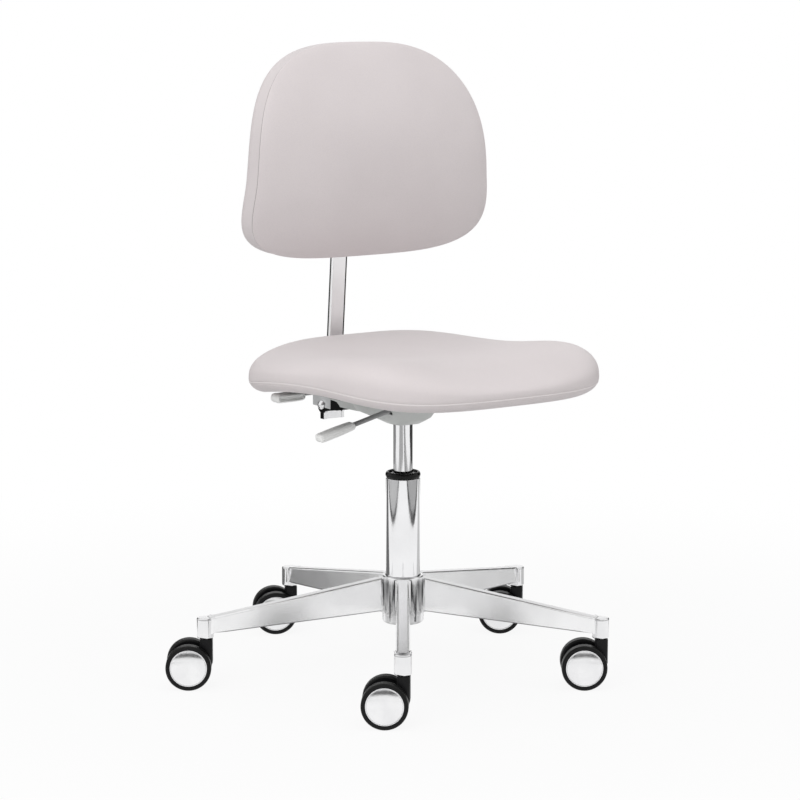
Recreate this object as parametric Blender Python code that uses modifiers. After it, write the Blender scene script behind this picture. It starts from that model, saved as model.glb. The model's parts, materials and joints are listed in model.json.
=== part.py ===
"""Swivel clinic chair: five-star castor base, gas spring, tilting height-adjustable back and padded seat.

Units are metres. +Z is up, the sitter faces -Y and the sitter's right hand is towards -X. The origin lies
on the floor, on the column's axis.
"""
import math

import bmesh
import bpy
from mathutils import Matrix
from mathutils import Vector

# Fits
CLEARANCE = 0.0003
LEVER_PLAY = 0.0006
SWIVEL_GAP = 0.0008
HINGE_SIDE_GAP = 0.0006

# Castors
WHEEL_RADIUS = 0.0333
WHEEL_SIDES = 20
WHEEL_WIDTH = 0.017
WHEEL_SPACING = 0.042
TREAD_WIDTH = 0.010
TYRE_SHOULDER = 0.0028
CAP_RADIUS = 0.0268
CAP_SEAT_DEPTH = 0.003
CAP_EDGE = 0.0016
CAP_DOME = 0.0042
AXLE_RADIUS = 0.004
CASTOR_TRAIL = 0.0240
HOOD_WIDTH = 0.023
HOOD_WEB_RADIUS = 0.0252
HOOD_NECK_FRONT = 0.0078
HOOD_NECK_REAR = 0.0105
NECK_RISE = 0.0382
STEM_RADIUS = 0.0055
STEM_IN_HOOD = 0.019
STEM_IN_SOCKET = 0.022
CASTOR_HEADING_DEG = (143.7, 146.0, 140.7, 152.7, 147.8)

# Star base
ARM_FIRST_DEG = -124.0
ARM_REACH = 0.299
ARM_WIDTH = 0.0165
ARM_EDGE = 0.0032
ARM_WALL = 0.0034
ARM_TIP_HEIGHT = 0.0226
ARM_ROOT_HEIGHT = 0.0489
ARM_RISE = 0.0415
SOCKET_RADIUS = 0.0122
SOCKET_HEIGHT = 0.0295
SOCKET_RIM = 0.0022
SOCKET_STEP = 0.0004
HUB_RADIUS = 0.0305
HUB_WALL_EMBED = 0.003
HUB_LIP = 0.0015
HUB_SKIRT = 0.0204
HUB_EDGE = 0.0035
HUB_DRAIN_RADIUS = 0.016

# Gas spring
COLUMN_RADIUS = 0.025
COLUMN_WALL = 0.0015
COLUMN_FLOOR = 0.003
COLUMN_INSET = 0.006
COLUMN_LENGTH = 0.2095
COLLAR_HEIGHT = 0.009
COLLAR_WIDTH = 0.0056
COLLAR_ROUND = 0.0026
BUSH_LENGTH = 0.090
BUSH_LIP = 0.0065
TUBE_RADIUS = 0.014
TUBE_WALL = 0.003
TUBE_LENGTH = 0.228
TUBE_CROWN = 0.016
TUBE_TIP_TAPER = 0.0008
ROD_SHOWN = 0.0717
PISTON_ROD_RADIUS = 0.005
PISTON_ROD_LENGTH = 0.228
PISTON_HEIGHT = 0.012
PISTON_SHOULDER = 0.0025
BEARING_RADIUS = 0.012
BEARING_HEIGHT = 0.005
CLIP_RADIUS = 0.0085
CLIP_HEIGHT = 0.002
BUTTON_RADIUS = 0.0037
BUTTON_IN_TUBE = 0.019

# Mechanism under the seat
MECHANISM_HEIGHT = 0.0606
PLATE_WIDTH = 0.124
PLATE_FRONT = -0.075
PLATE_REAR = 0.105
PLATE_THICKNESS = 0.004
CHANNEL_WIDTH = 0.052
CHANNEL_WALL = 0.003
CHANNEL_FRONT = -0.032
CHANNEL_REAR = 0.082
CHANNEL_RISE = 0.0155
SOCKET_TUBE_WALL = 0.0036
SOCKET_TUBE_RISE = 0.0055
TUBE_IN_SOCKET = 0.0175
COVER_WALL = 0.002
COVER_HOLE_PLAY = 0.0025
COVER_SQUARENESS = 4.0
COVER_SIDES = 28
# Rise above the mechanism's underside, half width, front and rear of each level of the cover
COVER_LEVELS = (
    (0.0565, 0.046, -0.066, 0.112),
    (0.0235, 0.039, -0.052, 0.104),
    (0.0105, 0.033, -0.042, 0.095),
    (0.0045, 0.027, -0.030, 0.045),
    (0.0000, 0.021, -0.021, 0.021),
)

# Levers on the sitter's right
LEVER_ROD_RADIUS = 0.0035
GAS_LEVER_Y = -0.020
GAS_LEVER_RISE = 0.0271
GAS_LEVER_SLOPE_DEG = 13.6
GAS_LEVER_REACH = 0.1385
GAS_GRIP_LENGTH = 0.062
GAS_GRIP_WIDTH = 0.021
GAS_GRIP_THICKNESS = 0.0122
LEVER_IN_GRIP = 0.040
GRIP_NECK_WALL = 0.0016
GRIP_ROUNDNESS = 2.6
TONGUE_LENGTH = 0.016
TONGUE_THICKNESS = 0.005
TONGUE_OVERHANG = 0.006
TILT_LEVER_Y = 0.075
TILT_LEVER_DROP = 0.0165
TILT_LEVER_REACH = 0.1535
TILT_LEVER_TAIL = 0.012
TILT_GRIP_LENGTH = 0.056
TILT_GRIP_WIDTH = 0.024
TILT_GRIP_THICKNESS = 0.013
TILT_GRIP_HANG = 0.0028
LEVER_SWING = 0.0026

# Back hinge
PIVOT_BEHIND_SEAT = 0.0247
PIVOT_RISE = 0.0015
BACK_LEAN_DEG = 5.0
PIVOT_BOLT_RADIUS = 0.004
PIVOT_HEAD_RADIUS = 0.0065
PIVOT_HEAD_HEIGHT = 0.0058
CHEEK_THICKNESS = 0.005
CHEEK_RADIUS = 0.013
CHEEK_TOP_RISE = 0.0345
CHEEK_FRONT = 0.050
CHEEK_TAIL = 0.026
CHEEK_TAIL_DROP = 0.003
TOE_DROP = 0.0215
TOE_LENGTH = 0.010
BRIDGE_GAP = 0.0015

# Back bar, sleeve and knob
BAR_WIDTH = 0.025
BAR_THICKNESS = 0.010
BAR_LENGTH = 0.430
KNUCKLE_RADIUS = 0.009
SLEEVE_HEIGHT = 0.078
SLEEVE_WALL = 0.007
SLEEVE_FLANGE_WIDTH = 0.096
SLEEVE_FLANGE_HEIGHT = 0.070
SLEEVE_FLANGE_THICKNESS = 0.004
KNOB_RADIUS = 0.021
KNOB_HEIGHT = 0.017
KNOB_WAIST = 0.0145
KNOB_STUD_RADIUS = 0.004

# Seat pad: plan, edge and the shape of its top
SEAT_WIDTH = 0.4324
SEAT_DEPTH = 0.4526
SEAT_MIDDLE_Y = -0.060
SEAT_SQUARENESS = 2.92
SEAT_REAR_FLARE = 0.052
SEAT_CORNER_FLARE = 0.121
SEAT_RIM_DROP = 0.0098
SEAT_SIDE_LIFT = 0.0165
SEAT_TILT = 0.0096
SEAT_BAND = 0.0201
SEAT_TUCK = 0.0236
SEAT_CROWN = 0.0521
SEAT_PITCH = -0.0186
SEAT_HOLLOW_LENGTHWISE = 0.034
SEAT_HOLLOW_SIDEWAYS = 0.0301
SEAT_FRONT_CORNERS = -0.0269
SEAT_REAR_RIM = 0.0517
SEAT_ALL_CORNERS = 0.0053
SEAT_ROLL = 2.6
SEAT_SIDES = 40
SEAT_BOARD_INSET = 0.046
SEAT_BOARD_THICKNESS = 0.010
SEAM_CHANNEL = 0.0016

# Back pad, measured along and square to the bar
BACK_WIDTH = 0.401
BACK_RISE = 0.1946
BACK_DROP = 0.1166
BACK_MIDDLE = 0.3556
BACK_REACH = 0.0877
BACK_CURVE_RADIUS = 0.315
BACK_THICKNESS = 0.041
BACK_CROWN = 0.014
BACK_ROLL = 2.6
BACK_TOP_SQUARENESS = 2.85
BACK_FOOT_SQUARENESS = 3.48
BACK_TAPER = 0.064
BACK_WAIST = 0.0357
BACK_SIDES = 40
BACK_REAR_TUCK = 0.0096
BACK_REAR_SINK = 0.0033
BACK_BOARD_INSET = 0.034
BACK_BOARD_THICKNESS = 0.008
# Rings that carry the board's curve, as shares of its outline
BACK_BOARD_SHARES = (0.15, 0.3, 0.5, 0.75, 1.0)

# Heights and places that follow from the sizes above
AXLE_Z = WHEEL_RADIUS * math.cos(math.pi / WHEEL_SIDES)
HOOD_TOP = AXLE_Z + NECK_RISE
SOCKET_BOTTOM = HOOD_TOP + SWIVEL_GAP
SOCKET_TOP = SOCKET_BOTTOM + SOCKET_HEIGHT
ARM_TIP_TOP = SOCKET_TOP - SOCKET_STEP
ARM_ROOT_TOP = ARM_TIP_TOP + ARM_RISE
HUB_TOP = ARM_ROOT_TOP + HUB_LIP
HUB_BOTTOM = ARM_ROOT_TOP - ARM_ROOT_HEIGHT - HUB_SKIRT
COLUMN_BOTTOM = HUB_BOTTOM + COLUMN_INSET
COLUMN_TOP = COLUMN_BOTTOM + COLUMN_LENGTH
COLLAR_BOTTOM = COLUMN_TOP + CLEARANCE
COLLAR_TOP = COLLAR_BOTTOM + COLLAR_HEIGHT
MECHANISM_BOTTOM = COLLAR_TOP + ROD_SHOWN
PLATE_TOP = MECHANISM_BOTTOM + MECHANISM_HEIGHT
SOCKET_TUBE_BOTTOM = MECHANISM_BOTTOM + SOCKET_TUBE_RISE
TUBE_TOP = SOCKET_TUBE_BOTTOM + TUBE_IN_SOCKET
SEAT_BOARD_BOTTOM = PLATE_TOP + CLEARANCE
LEVER_PIVOT_X = -(CHANNEL_WIDTH - CHANNEL_WALL) / 2
GAS_LEVER_Z = MECHANISM_BOTTOM + GAS_LEVER_RISE
TILT_LEVER_Z = PLATE_TOP - TILT_LEVER_DROP
PIVOT_Y = SEAT_MIDDLE_Y + SEAT_DEPTH / 2 + PIVOT_BEHIND_SEAT
PIVOT_Z = MECHANISM_BOTTOM + PIVOT_RISE


def clear_scene():
    for old in list(bpy.data.objects):
        bpy.data.objects.remove(old, do_unlink=True)


def collection(name):
    group = bpy.data.collections.new(name)
    bpy.context.scene.collection.children.link(group)
    return group


clear_scene()
PARTS = collection("swivel_clinic_chair")
CUTTERS = collection("cutters")


def finish(name, colour, roughness, metallic):
    material = bpy.data.materials.new(name)
    material.use_nodes = True
    shader = material.node_tree.nodes["Principled BSDF"]
    shader.inputs["Base Color"].default_value = (*colour, 1.0)
    shader.inputs["Roughness"].default_value = roughness
    shader.inputs["Metallic"].default_value = metallic
    return material


CHROME = finish("chrome", (0.86, 0.86, 0.87), 0.08, 1.0)
ALUMINIUM = finish("polished_aluminium", (0.83, 0.83, 0.84), 0.16, 1.0)
BRIGHT_STEEL = finish("bright_steel", (0.72, 0.72, 0.73), 0.25, 1.0)
GREY_STEEL = finish("grey_steel", (0.42, 0.43, 0.44), 0.4, 1.0)
BLACK_NYLON = finish("black_nylon", (0.018, 0.018, 0.02), 0.45, 0.0)
BLACK_RUBBER = finish("black_rubber", (0.012, 0.012, 0.012), 0.6, 0.0)
PALE_PLASTIC = finish("pale_grey_plastic", (0.60, 0.61, 0.60), 0.5, 0.0)
BUSH_PLASTIC = finish("grey_bush_plastic", (0.35, 0.35, 0.36), 0.5, 0.0)
UPHOLSTERY = finish("pale_grey_upholstery", (0.62, 0.58, 0.58), 0.65, 0.0)
PLYWOOD = finish("plywood", (0.55, 0.40, 0.25), 0.7, 0.0)


def axis_empty(name, location, rotation=(0.0, 0.0, 0.0), parent=None):
    empty = bpy.data.objects.new(name, None)
    empty.location = location
    empty.rotation_euler = rotation
    empty.parent = parent
    PARTS.objects.link(empty)
    return empty


def place(name, bm, material, parent=None, location=(0.0, 0.0, 0.0), rotation=(0.0, 0.0, 0.0)):
    """Makes an object from a finished bmesh and puts it in the chair."""
    mesh = bpy.data.meshes.new(name)
    bm.to_mesh(mesh)
    bm.free()
    obj = bpy.data.objects.new(name, mesh)
    obj.location = location
    obj.rotation_euler = rotation
    obj.parent = parent
    if material:
        mesh.materials.append(material)
    PARTS.objects.link(obj)
    return obj


def boolean(target, other, operation):
    """Adds other to target or cuts it out, and puts other among the hidden cutters."""
    step = target.modifiers.new(other.name, "BOOLEAN")
    step.operation = operation
    step.object = other
    step.solver = "EXACT"
    PARTS.objects.unlink(other)
    CUTTERS.objects.link(other)
    other.hide_render = True
    other.display_type = "WIRE"


def turned(name, profile, sides, material, parent=None, ring=False, start=0.0, **where):
    """Turns a profile of (radius, height) points about Z. A ring's profile closes on itself."""
    bm = bmesh.new()
    points = [bm.verts.new((r * math.cos(start), r * math.sin(start), z)) for r, z in profile]
    for first, second in zip(points, points[1:]):
        bm.edges.new((first, second))
    if ring:
        bm.edges.new((points[-1], points[0]))
    obj = place(name, bm, material, parent, **where)
    screw = obj.modifiers.new("turn", "SCREW")
    screw.axis = "Z"
    screw.angle = 2 * math.pi
    screw.steps = sides
    screw.render_steps = sides
    screw.use_merge_vertices = True
    screw.merge_threshold = 0.00001
    screw.use_smooth_shade = True
    return obj


def tube_profile(outer, inner, bottom, top):
    return [(outer, top), (outer, bottom), (inner, bottom), (inner, top)]


def add_box(bm, low, high):
    low = Vector(low)
    high = Vector(high)
    scale = Matrix.Diagonal((*(high - low), 1.0))
    bmesh.ops.create_cube(bm, size=1.0, matrix=Matrix.Translation((low + high) / 2) @ scale)


def box(name, low, high, material, parent=None):
    bm = bmesh.new()
    add_box(bm, low, high)
    return place(name, bm, material, parent)


def add_rod(bm, radius, start, end, sides):
    """A round bar between two points."""
    start = Vector(start)
    end = Vector(end)
    along = end - start
    turn = along.to_track_quat("Z", "Y").to_matrix().to_4x4()
    bmesh.ops.create_cone(
        bm,
        cap_ends=True,
        segments=sides,
        radius1=radius,
        radius2=radius,
        depth=along.length,
        matrix=Matrix.Translation((start + end) / 2) @ turn,
    )


def rod(name, radius, start, end, sides, material, parent=None):
    bm = bmesh.new()
    add_rod(bm, radius, start, end, sides)
    return place(name, bm, material, parent)


def add_loft(bm, rings, loop=False):
    """Skins a row of like-numbered rings. A ring of one point closes the skin as a fan."""
    rows = [[bm.verts.new(point) for point in ring] for ring in rings]
    pairs = list(zip(rows, rows[1:]))
    if loop:
        pairs.append((rows[-1], rows[0]))
    faces = []
    for near, far in pairs:
        count = max(len(near), len(far))
        for k in range(count):
            n = (k + 1) % count
            corners = (near[k % len(near)], near[n % len(near)], far[n % len(far)], far[k % len(far)])
            faces.append(bm.faces.new(list(dict.fromkeys(corners))))
    if not loop:
        for end in (rows[0], rows[-1]):
            if len(end) > 2:
                faces.append(bm.faces.new(end))
    bmesh.ops.recalc_face_normals(bm, faces=faces)
    return faces


def loft(name, rings, material, parent=None, loop=False):
    bm = bmesh.new()
    for face in add_loft(bm, rings, loop):
        face.smooth = True
    bmesh.ops.triangulate(bm, faces=bm.faces, quad_method="SHORT_EDGE")
    return place(name, bm, material, parent)


def prism(name, outline, low, high, axis, material, parent=None):
    """Extrudes a flat outline along X or Y. The outline's points are the other two coordinates."""
    def point(first, second, along):
        return (along, first, second) if axis == "X" else (first, along, second)

    rings = [[point(a, b, along) for a, b in outline] for along in (low, high)]
    bm = bmesh.new()
    add_loft(bm, rings)
    return place(name, bm, material, parent)


def arc(centre, radius, start_deg, end_deg, steps):
    """Points of an arc, from one angle to the other."""
    points = []
    for k in range(steps + 1):
        angle = math.radians(start_deg + (end_deg - start_deg) * k / steps)
        points.append((centre[0] + radius * math.cos(angle), centre[1] + radius * math.sin(angle)))
    return points


def squircle(sides, squareness):
    """Directions round a rounded square of half width 1; squareness is a number or a function of height."""
    points = []
    for k in range(sides):
        angle = 2 * math.pi * k / sides
        c = math.cos(angle)
        s = math.sin(angle)
        n = squareness(s) if callable(squareness) else squareness
        radius = (abs(c) ** n + abs(s) ** n) ** (-1 / n)
        points.append((radius * c, radius * s))
    return points


def dome(radius, edge_z, height, steps):
    """Profile of a low dome, from its middle out to its edge."""
    points = []
    for k in range(steps + 1):
        angle = math.pi / 2 * k / steps
        points.append((radius * math.sin(angle), edge_z + height * math.cos(angle)))
    return points


# Castors


def castor_hood(name, parent):
    """Black hood: a web between the wheels and a neck under the arm's socket."""
    reach = max(-1.0, min(1.0, (HOOD_NECK_FRONT - CASTOR_TRAIL) / HOOD_WEB_RADIUS))
    outline = [(-HOOD_NECK_REAR, AXLE_Z), (-HOOD_NECK_REAR, HOOD_TOP), (HOOD_NECK_FRONT, HOOD_TOP)]
    outline += arc((CASTOR_TRAIL, AXLE_Z), HOOD_WEB_RADIUS, math.degrees(math.acos(reach)), -140, 12)
    hood = prism(name, outline, -HOOD_WIDTH / 2, HOOD_WIDTH / 2, "Y", BLACK_NYLON, parent)
    stem_floor = HOOD_TOP - STEM_IN_HOOD - CLEARANCE
    stem_hole = rod(name + "_stem_hole", STEM_RADIUS + CLEARANCE, (0, 0, stem_floor),
                    (0, 0, HOOD_TOP + STEM_IN_HOOD), 12, None, parent)
    boolean(hood, stem_hole, "DIFFERENCE")
    axle_hole = rod(name + "_axle_hole", AXLE_RADIUS + CLEARANCE, (CASTOR_TRAIL, -HOOD_WIDTH, AXLE_Z),
                    (CASTOR_TRAIL, HOOD_WIDTH, AXLE_Z), 12, None, parent)
    boolean(hood, axle_hole, "DIFFERENCE")


def castor_wheel(prefix, side, axle):
    """A wheel and its cap, turned about the axle, with the outer face on the given side."""
    half = WHEEL_WIDTH / 2
    seat_radius = CAP_RADIUS + CLEARANCE
    bore = AXLE_RADIUS + CLEARANCE
    floor = half - CAP_SEAT_DEPTH
    shoulder = WHEEL_RADIUS - TYRE_SHOULDER
    profile = [
        (seat_radius, half),
        (shoulder, half),
        (WHEEL_RADIUS, TREAD_WIDTH / 2),
        (WHEEL_RADIUS, -TREAD_WIDTH / 2),
        (shoulder, -half),
        (bore, -half),
        (bore, floor),
        (seat_radius, floor),
    ]
    cap_back = floor + CLEARANCE
    cap_profile = dome(CAP_RADIUS, cap_back + CAP_EDGE, CAP_DOME, 3) + [(CAP_RADIUS, cap_back), (0, cap_back)]
    sign = 1 if side == "left" else -1
    where = {
        "location": (0, sign * WHEEL_SPACING / 2, 0),
        "rotation": (-sign * math.pi / 2, 0, 0),
        "start": math.pi / WHEEL_SIDES,
    }
    turned(f"{prefix}_wheel_{side}", profile, WHEEL_SIDES, BLACK_NYLON, axle, ring=True, **where)
    turned(f"{prefix}_cap_{side}", cap_profile, WHEEL_SIDES, CHROME, axle, **where)


def castor(number, arm_deg, heading_deg):
    angle = math.radians(arm_deg)
    prefix = f"castor_{number}"
    pivot = axis_empty(prefix + "_swivel_axis", (ARM_REACH * math.cos(angle), ARM_REACH * math.sin(angle), 0),
                       (0, 0, math.radians(heading_deg)))
    axle = axis_empty(prefix + "_wheel_axis", (CASTOR_TRAIL, 0, AXLE_Z), parent=pivot)
    stem_bottom = HOOD_TOP - STEM_IN_HOOD
    stem_top = SOCKET_BOTTOM + STEM_IN_SOCKET
    collar_radius = HOOD_NECK_FRONT
    collar_bottom = HOOD_TOP + CLEARANCE
    collar_top = SOCKET_BOTTOM - CLEARANCE
    stem = [(0, stem_top), (STEM_RADIUS, stem_top), (STEM_RADIUS, collar_top), (collar_radius, collar_top),
            (collar_radius, collar_bottom), (STEM_RADIUS, collar_bottom), (STEM_RADIUS, stem_bottom),
            (0, stem_bottom)]
    turned(prefix + "_stem", stem, 12, GREY_STEEL, pivot)
    castor_hood(prefix + "_hood", pivot)
    end = WHEEL_SPACING / 2 + WHEEL_WIDTH / 2 - CAP_SEAT_DEPTH - CLEARANCE
    rod(prefix + "_axle", AXLE_RADIUS, (CASTOR_TRAIL, -end, AXLE_Z), (CASTOR_TRAIL, end, AXLE_Z), 12,
        GREY_STEEL, pivot)
    for side in ("left", "right"):
        castor_wheel(prefix, side, axle)


# Star base


def arm_top(radius):
    share = (ARM_REACH - radius) / (ARM_REACH - HUB_RADIUS)
    return ARM_TIP_TOP + ARM_RISE * share


def arm_bottom(radius):
    share = (ARM_REACH - radius) / (ARM_REACH - HUB_RADIUS)
    return arm_top(radius) - ARM_TIP_HEIGHT - (ARM_ROOT_HEIGHT - ARM_TIP_HEIGHT) * share


def arm_section(radius):
    half = ARM_WIDTH / 2
    top = arm_top(radius)
    bottom = arm_bottom(radius)
    outline = [(half, bottom), (half, top - ARM_EDGE), (half - ARM_EDGE, top)]
    outline += [(-y, z) for y, z in reversed(outline)]
    return [Vector((radius, y, z)) for y, z in outline]


def hollow_section(radius):
    half = ARM_WIDTH / 2 - ARM_WALL
    roof = arm_top(radius) - ARM_EDGE - ARM_WALL
    below = arm_bottom(radius) - ARM_EDGE
    return [Vector((radius, y, z)) for y, z in ((half, below), (half, roof), (-half, roof), (-half, below))]


def star_base(arm_angles):
    """Hub, arms and sockets in one casting, hollow under the arms and bored for the castor stems."""
    bore = COLUMN_RADIUS + CLEARANCE
    ledge = COLUMN_BOTTOM - CLEARANCE
    profile = [
        (bore, HUB_TOP),
        (HUB_RADIUS - HUB_EDGE / 2, HUB_TOP),
        (HUB_RADIUS, HUB_TOP - HUB_EDGE),
        (HUB_RADIUS, HUB_BOTTOM + HUB_EDGE),
        (HUB_RADIUS - HUB_EDGE, HUB_BOTTOM),
        (HUB_DRAIN_RADIUS, HUB_BOTTOM),
        (HUB_DRAIN_RADIUS, ledge),
        (bore, ledge),
    ]
    base = turned("star_base", profile, 40, ALUMINIUM, ring=True)
    arms = bmesh.new()
    hollows = bmesh.new()
    sockets = bmesh.new()
    bores = bmesh.new()
    outer = ARM_REACH - SOCKET_RADIUS - ARM_WALL
    for arm_deg in arm_angles:
        turn = Matrix.Rotation(math.radians(arm_deg), 4, "Z")
        tip = turn @ Vector((ARM_REACH, 0, 0))
        root = HUB_RADIUS - HUB_WALL_EMBED
        add_loft(arms, [[turn @ p for p in arm_section(r)] for r in (root, ARM_REACH)])
        inner = HUB_RADIUS + ARM_WALL
        add_loft(hollows, [[turn @ p for p in hollow_section(r)] for r in (inner, outer)])
        levels = ((SOCKET_BOTTOM, SOCKET_RIM), (SOCKET_BOTTOM + SOCKET_RIM, 0), (SOCKET_TOP - SOCKET_RIM, 0),
                  (SOCKET_TOP, SOCKET_RIM))
        rings = []
        for z, inset in levels:
            circle = arc((tip.x, tip.y), SOCKET_RADIUS - inset, 0, 360 - 360 / 20, 19)
            rings.append([Vector((x, y, z)) for x, y in circle])
        add_loft(sockets, rings)
        add_rod(bores, STEM_RADIUS + CLEARANCE, (tip.x, tip.y, SOCKET_BOTTOM - SOCKET_RIM),
                (tip.x, tip.y, SOCKET_BOTTOM + STEM_IN_SOCKET + CLEARANCE), 12)
    boolean(base, place("base_arms", arms, None), "UNION")
    boolean(base, place("base_sockets", sockets, None), "UNION")
    boolean(base, place("base_hollows", hollows, None), "DIFFERENCE")
    boolean(base, place("base_stem_bores", bores, None), "DIFFERENCE")


# Gas spring


def gas_spring(swivel, lift):
    rod_hole = PISTON_ROD_RADIUS + CLEARANCE
    inside = COLUMN_RADIUS - COLUMN_WALL
    floor = COLUMN_BOTTOM + COLUMN_FLOOR
    column = [(COLUMN_RADIUS, COLUMN_TOP), (COLUMN_RADIUS, COLUMN_BOTTOM), (rod_hole, COLUMN_BOTTOM),
              (rod_hole, floor), (inside, floor), (inside, COLUMN_TOP)]
    turned("column_tube", column, 32, CHROME, ring=True)
    guide = TUBE_RADIUS + CLEARANCE
    lip_radius = COLUMN_RADIUS - COLLAR_WIDTH - CLEARANCE
    bush_radius = inside - CLEARANCE
    bush = [(lip_radius, COLUMN_TOP + BUSH_LIP), (lip_radius, COLUMN_TOP), (bush_radius, COLUMN_TOP),
            (bush_radius, COLUMN_TOP - BUSH_LENGTH), (guide, COLUMN_TOP - BUSH_LENGTH),
            (guide, COLUMN_TOP + BUSH_LIP)]
    turned("column_bush", bush, 24, BUSH_PLASTIC, ring=True)
    collar_inner = COLUMN_RADIUS - COLLAR_WIDTH
    collar = [(collar_inner, COLLAR_TOP - COLLAR_ROUND / 2), (collar_inner + COLLAR_WIDTH / 2, COLLAR_TOP),
              (COLUMN_RADIUS - COLLAR_ROUND / 2, COLLAR_TOP - COLLAR_ROUND / 2),
              (COLUMN_RADIUS, COLLAR_TOP - COLLAR_ROUND), (COLUMN_RADIUS, COLLAR_BOTTOM),
              (collar_inner, COLLAR_BOTTOM)]
    turned("column_collar", collar, 32, BLACK_RUBBER, ring=True)
    bearing_bottom = floor + CLEARANCE
    bearing_top = bearing_bottom + BEARING_HEIGHT
    bearing = tube_profile(BEARING_RADIUS, rod_hole, bearing_bottom, bearing_top)
    turned("thrust_bearing", bearing, 16, GREY_STEEL, ring=True)
    clip_top = COLUMN_BOTTOM - CLEARANCE
    clip_bottom = clip_top - CLIP_HEIGHT
    clip = tube_profile(CLIP_RADIUS, rod_hole, clip_bottom, clip_top)
    turned("retaining_clip", clip, 16, GREY_STEEL, swivel, ring=True)
    piston_top = clip_bottom + PISTON_ROD_LENGTH
    piston_radius = TUBE_RADIUS - TUBE_WALL - CLEARANCE
    shoulder = PISTON_ROD_RADIUS + PISTON_SHOULDER
    seat = bearing_top + CLEARANCE
    piston = [(0, piston_top), (piston_radius, piston_top), (piston_radius, piston_top - PISTON_HEIGHT),
              (PISTON_ROD_RADIUS, piston_top - PISTON_HEIGHT), (PISTON_ROD_RADIUS, seat + PISTON_SHOULDER),
              (shoulder, seat + PISTON_SHOULDER), (shoulder, seat), (PISTON_ROD_RADIUS, seat),
              (PISTON_ROD_RADIUS, clip_bottom), (0, clip_bottom)]
    turned("piston_rod", piston, 16, BRIGHT_STEEL, swivel)
    bore = TUBE_RADIUS - TUBE_WALL
    bore_top = TUBE_TOP - TUBE_CROWN
    button_hole = BUTTON_RADIUS + CLEARANCE
    tube = [(TUBE_RADIUS - TUBE_TIP_TAPER, TUBE_TOP), (TUBE_RADIUS, SOCKET_TUBE_BOTTOM),
            (TUBE_RADIUS, TUBE_TOP - TUBE_LENGTH), (bore, TUBE_TOP - TUBE_LENGTH), (bore, bore_top),
            (button_hole, bore_top), (button_hole, TUBE_TOP)]
    turned("pressure_tube", tube, 24, CHROME, lift, ring=True)


def button_top():
    """The release button ends just under the gas lever's tongue."""
    slope = math.radians(GAS_LEVER_SLOPE_DEG)
    over_button = GAS_LEVER_Z + (-LEVER_PIVOT_X - BUTTON_RADIUS) * math.tan(slope)
    return over_button - TONGUE_THICKNESS / 2 / math.cos(slope) - CLEARANCE


def release_button(lift):
    top = button_top()
    profile = [(0, top), (BUTTON_RADIUS, top), (BUTTON_RADIUS, TUBE_TOP - BUTTON_IN_TUBE),
               (0, TUBE_TOP - BUTTON_IN_TUBE)]
    turned("release_button", profile, 12, BRIGHT_STEEL, lift)


# Mechanism under the seat


def cheek_outline():
    """One cheek of the back hinge, in the (y, z) plane: an arm, a lug round the bolt, a tail and a toe."""
    top = PIVOT_Z + CHEEK_TOP_RISE
    foot = MECHANISM_BOTTOM + CHANNEL_RISE + CHANNEL_WALL / 2
    tail = PIVOT_Y + CHEEK_TAIL
    toe = TOE_LENGTH / 2
    toe_bottom = PIVOT_Z - TOE_DROP
    tail_deg = math.degrees(math.asin(CHEEK_TAIL_DROP / CHEEK_RADIUS))
    toe_deg = math.degrees(math.acos(toe / CHEEK_RADIUS))
    outline = [(CHEEK_FRONT, foot), (CHEEK_FRONT, top), (tail, top), (tail, PIVOT_Z - CHEEK_TAIL_DROP)]
    outline += arc((PIVOT_Y, PIVOT_Z), CHEEK_RADIUS, -tail_deg, -toe_deg, 3)
    outline += [(PIVOT_Y + toe, toe_bottom), (PIVOT_Y - toe, toe_bottom)]
    outline += arc((PIVOT_Y, PIVOT_Z), CHEEK_RADIUS, toe_deg - 180, -140, 3)
    return outline


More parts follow.
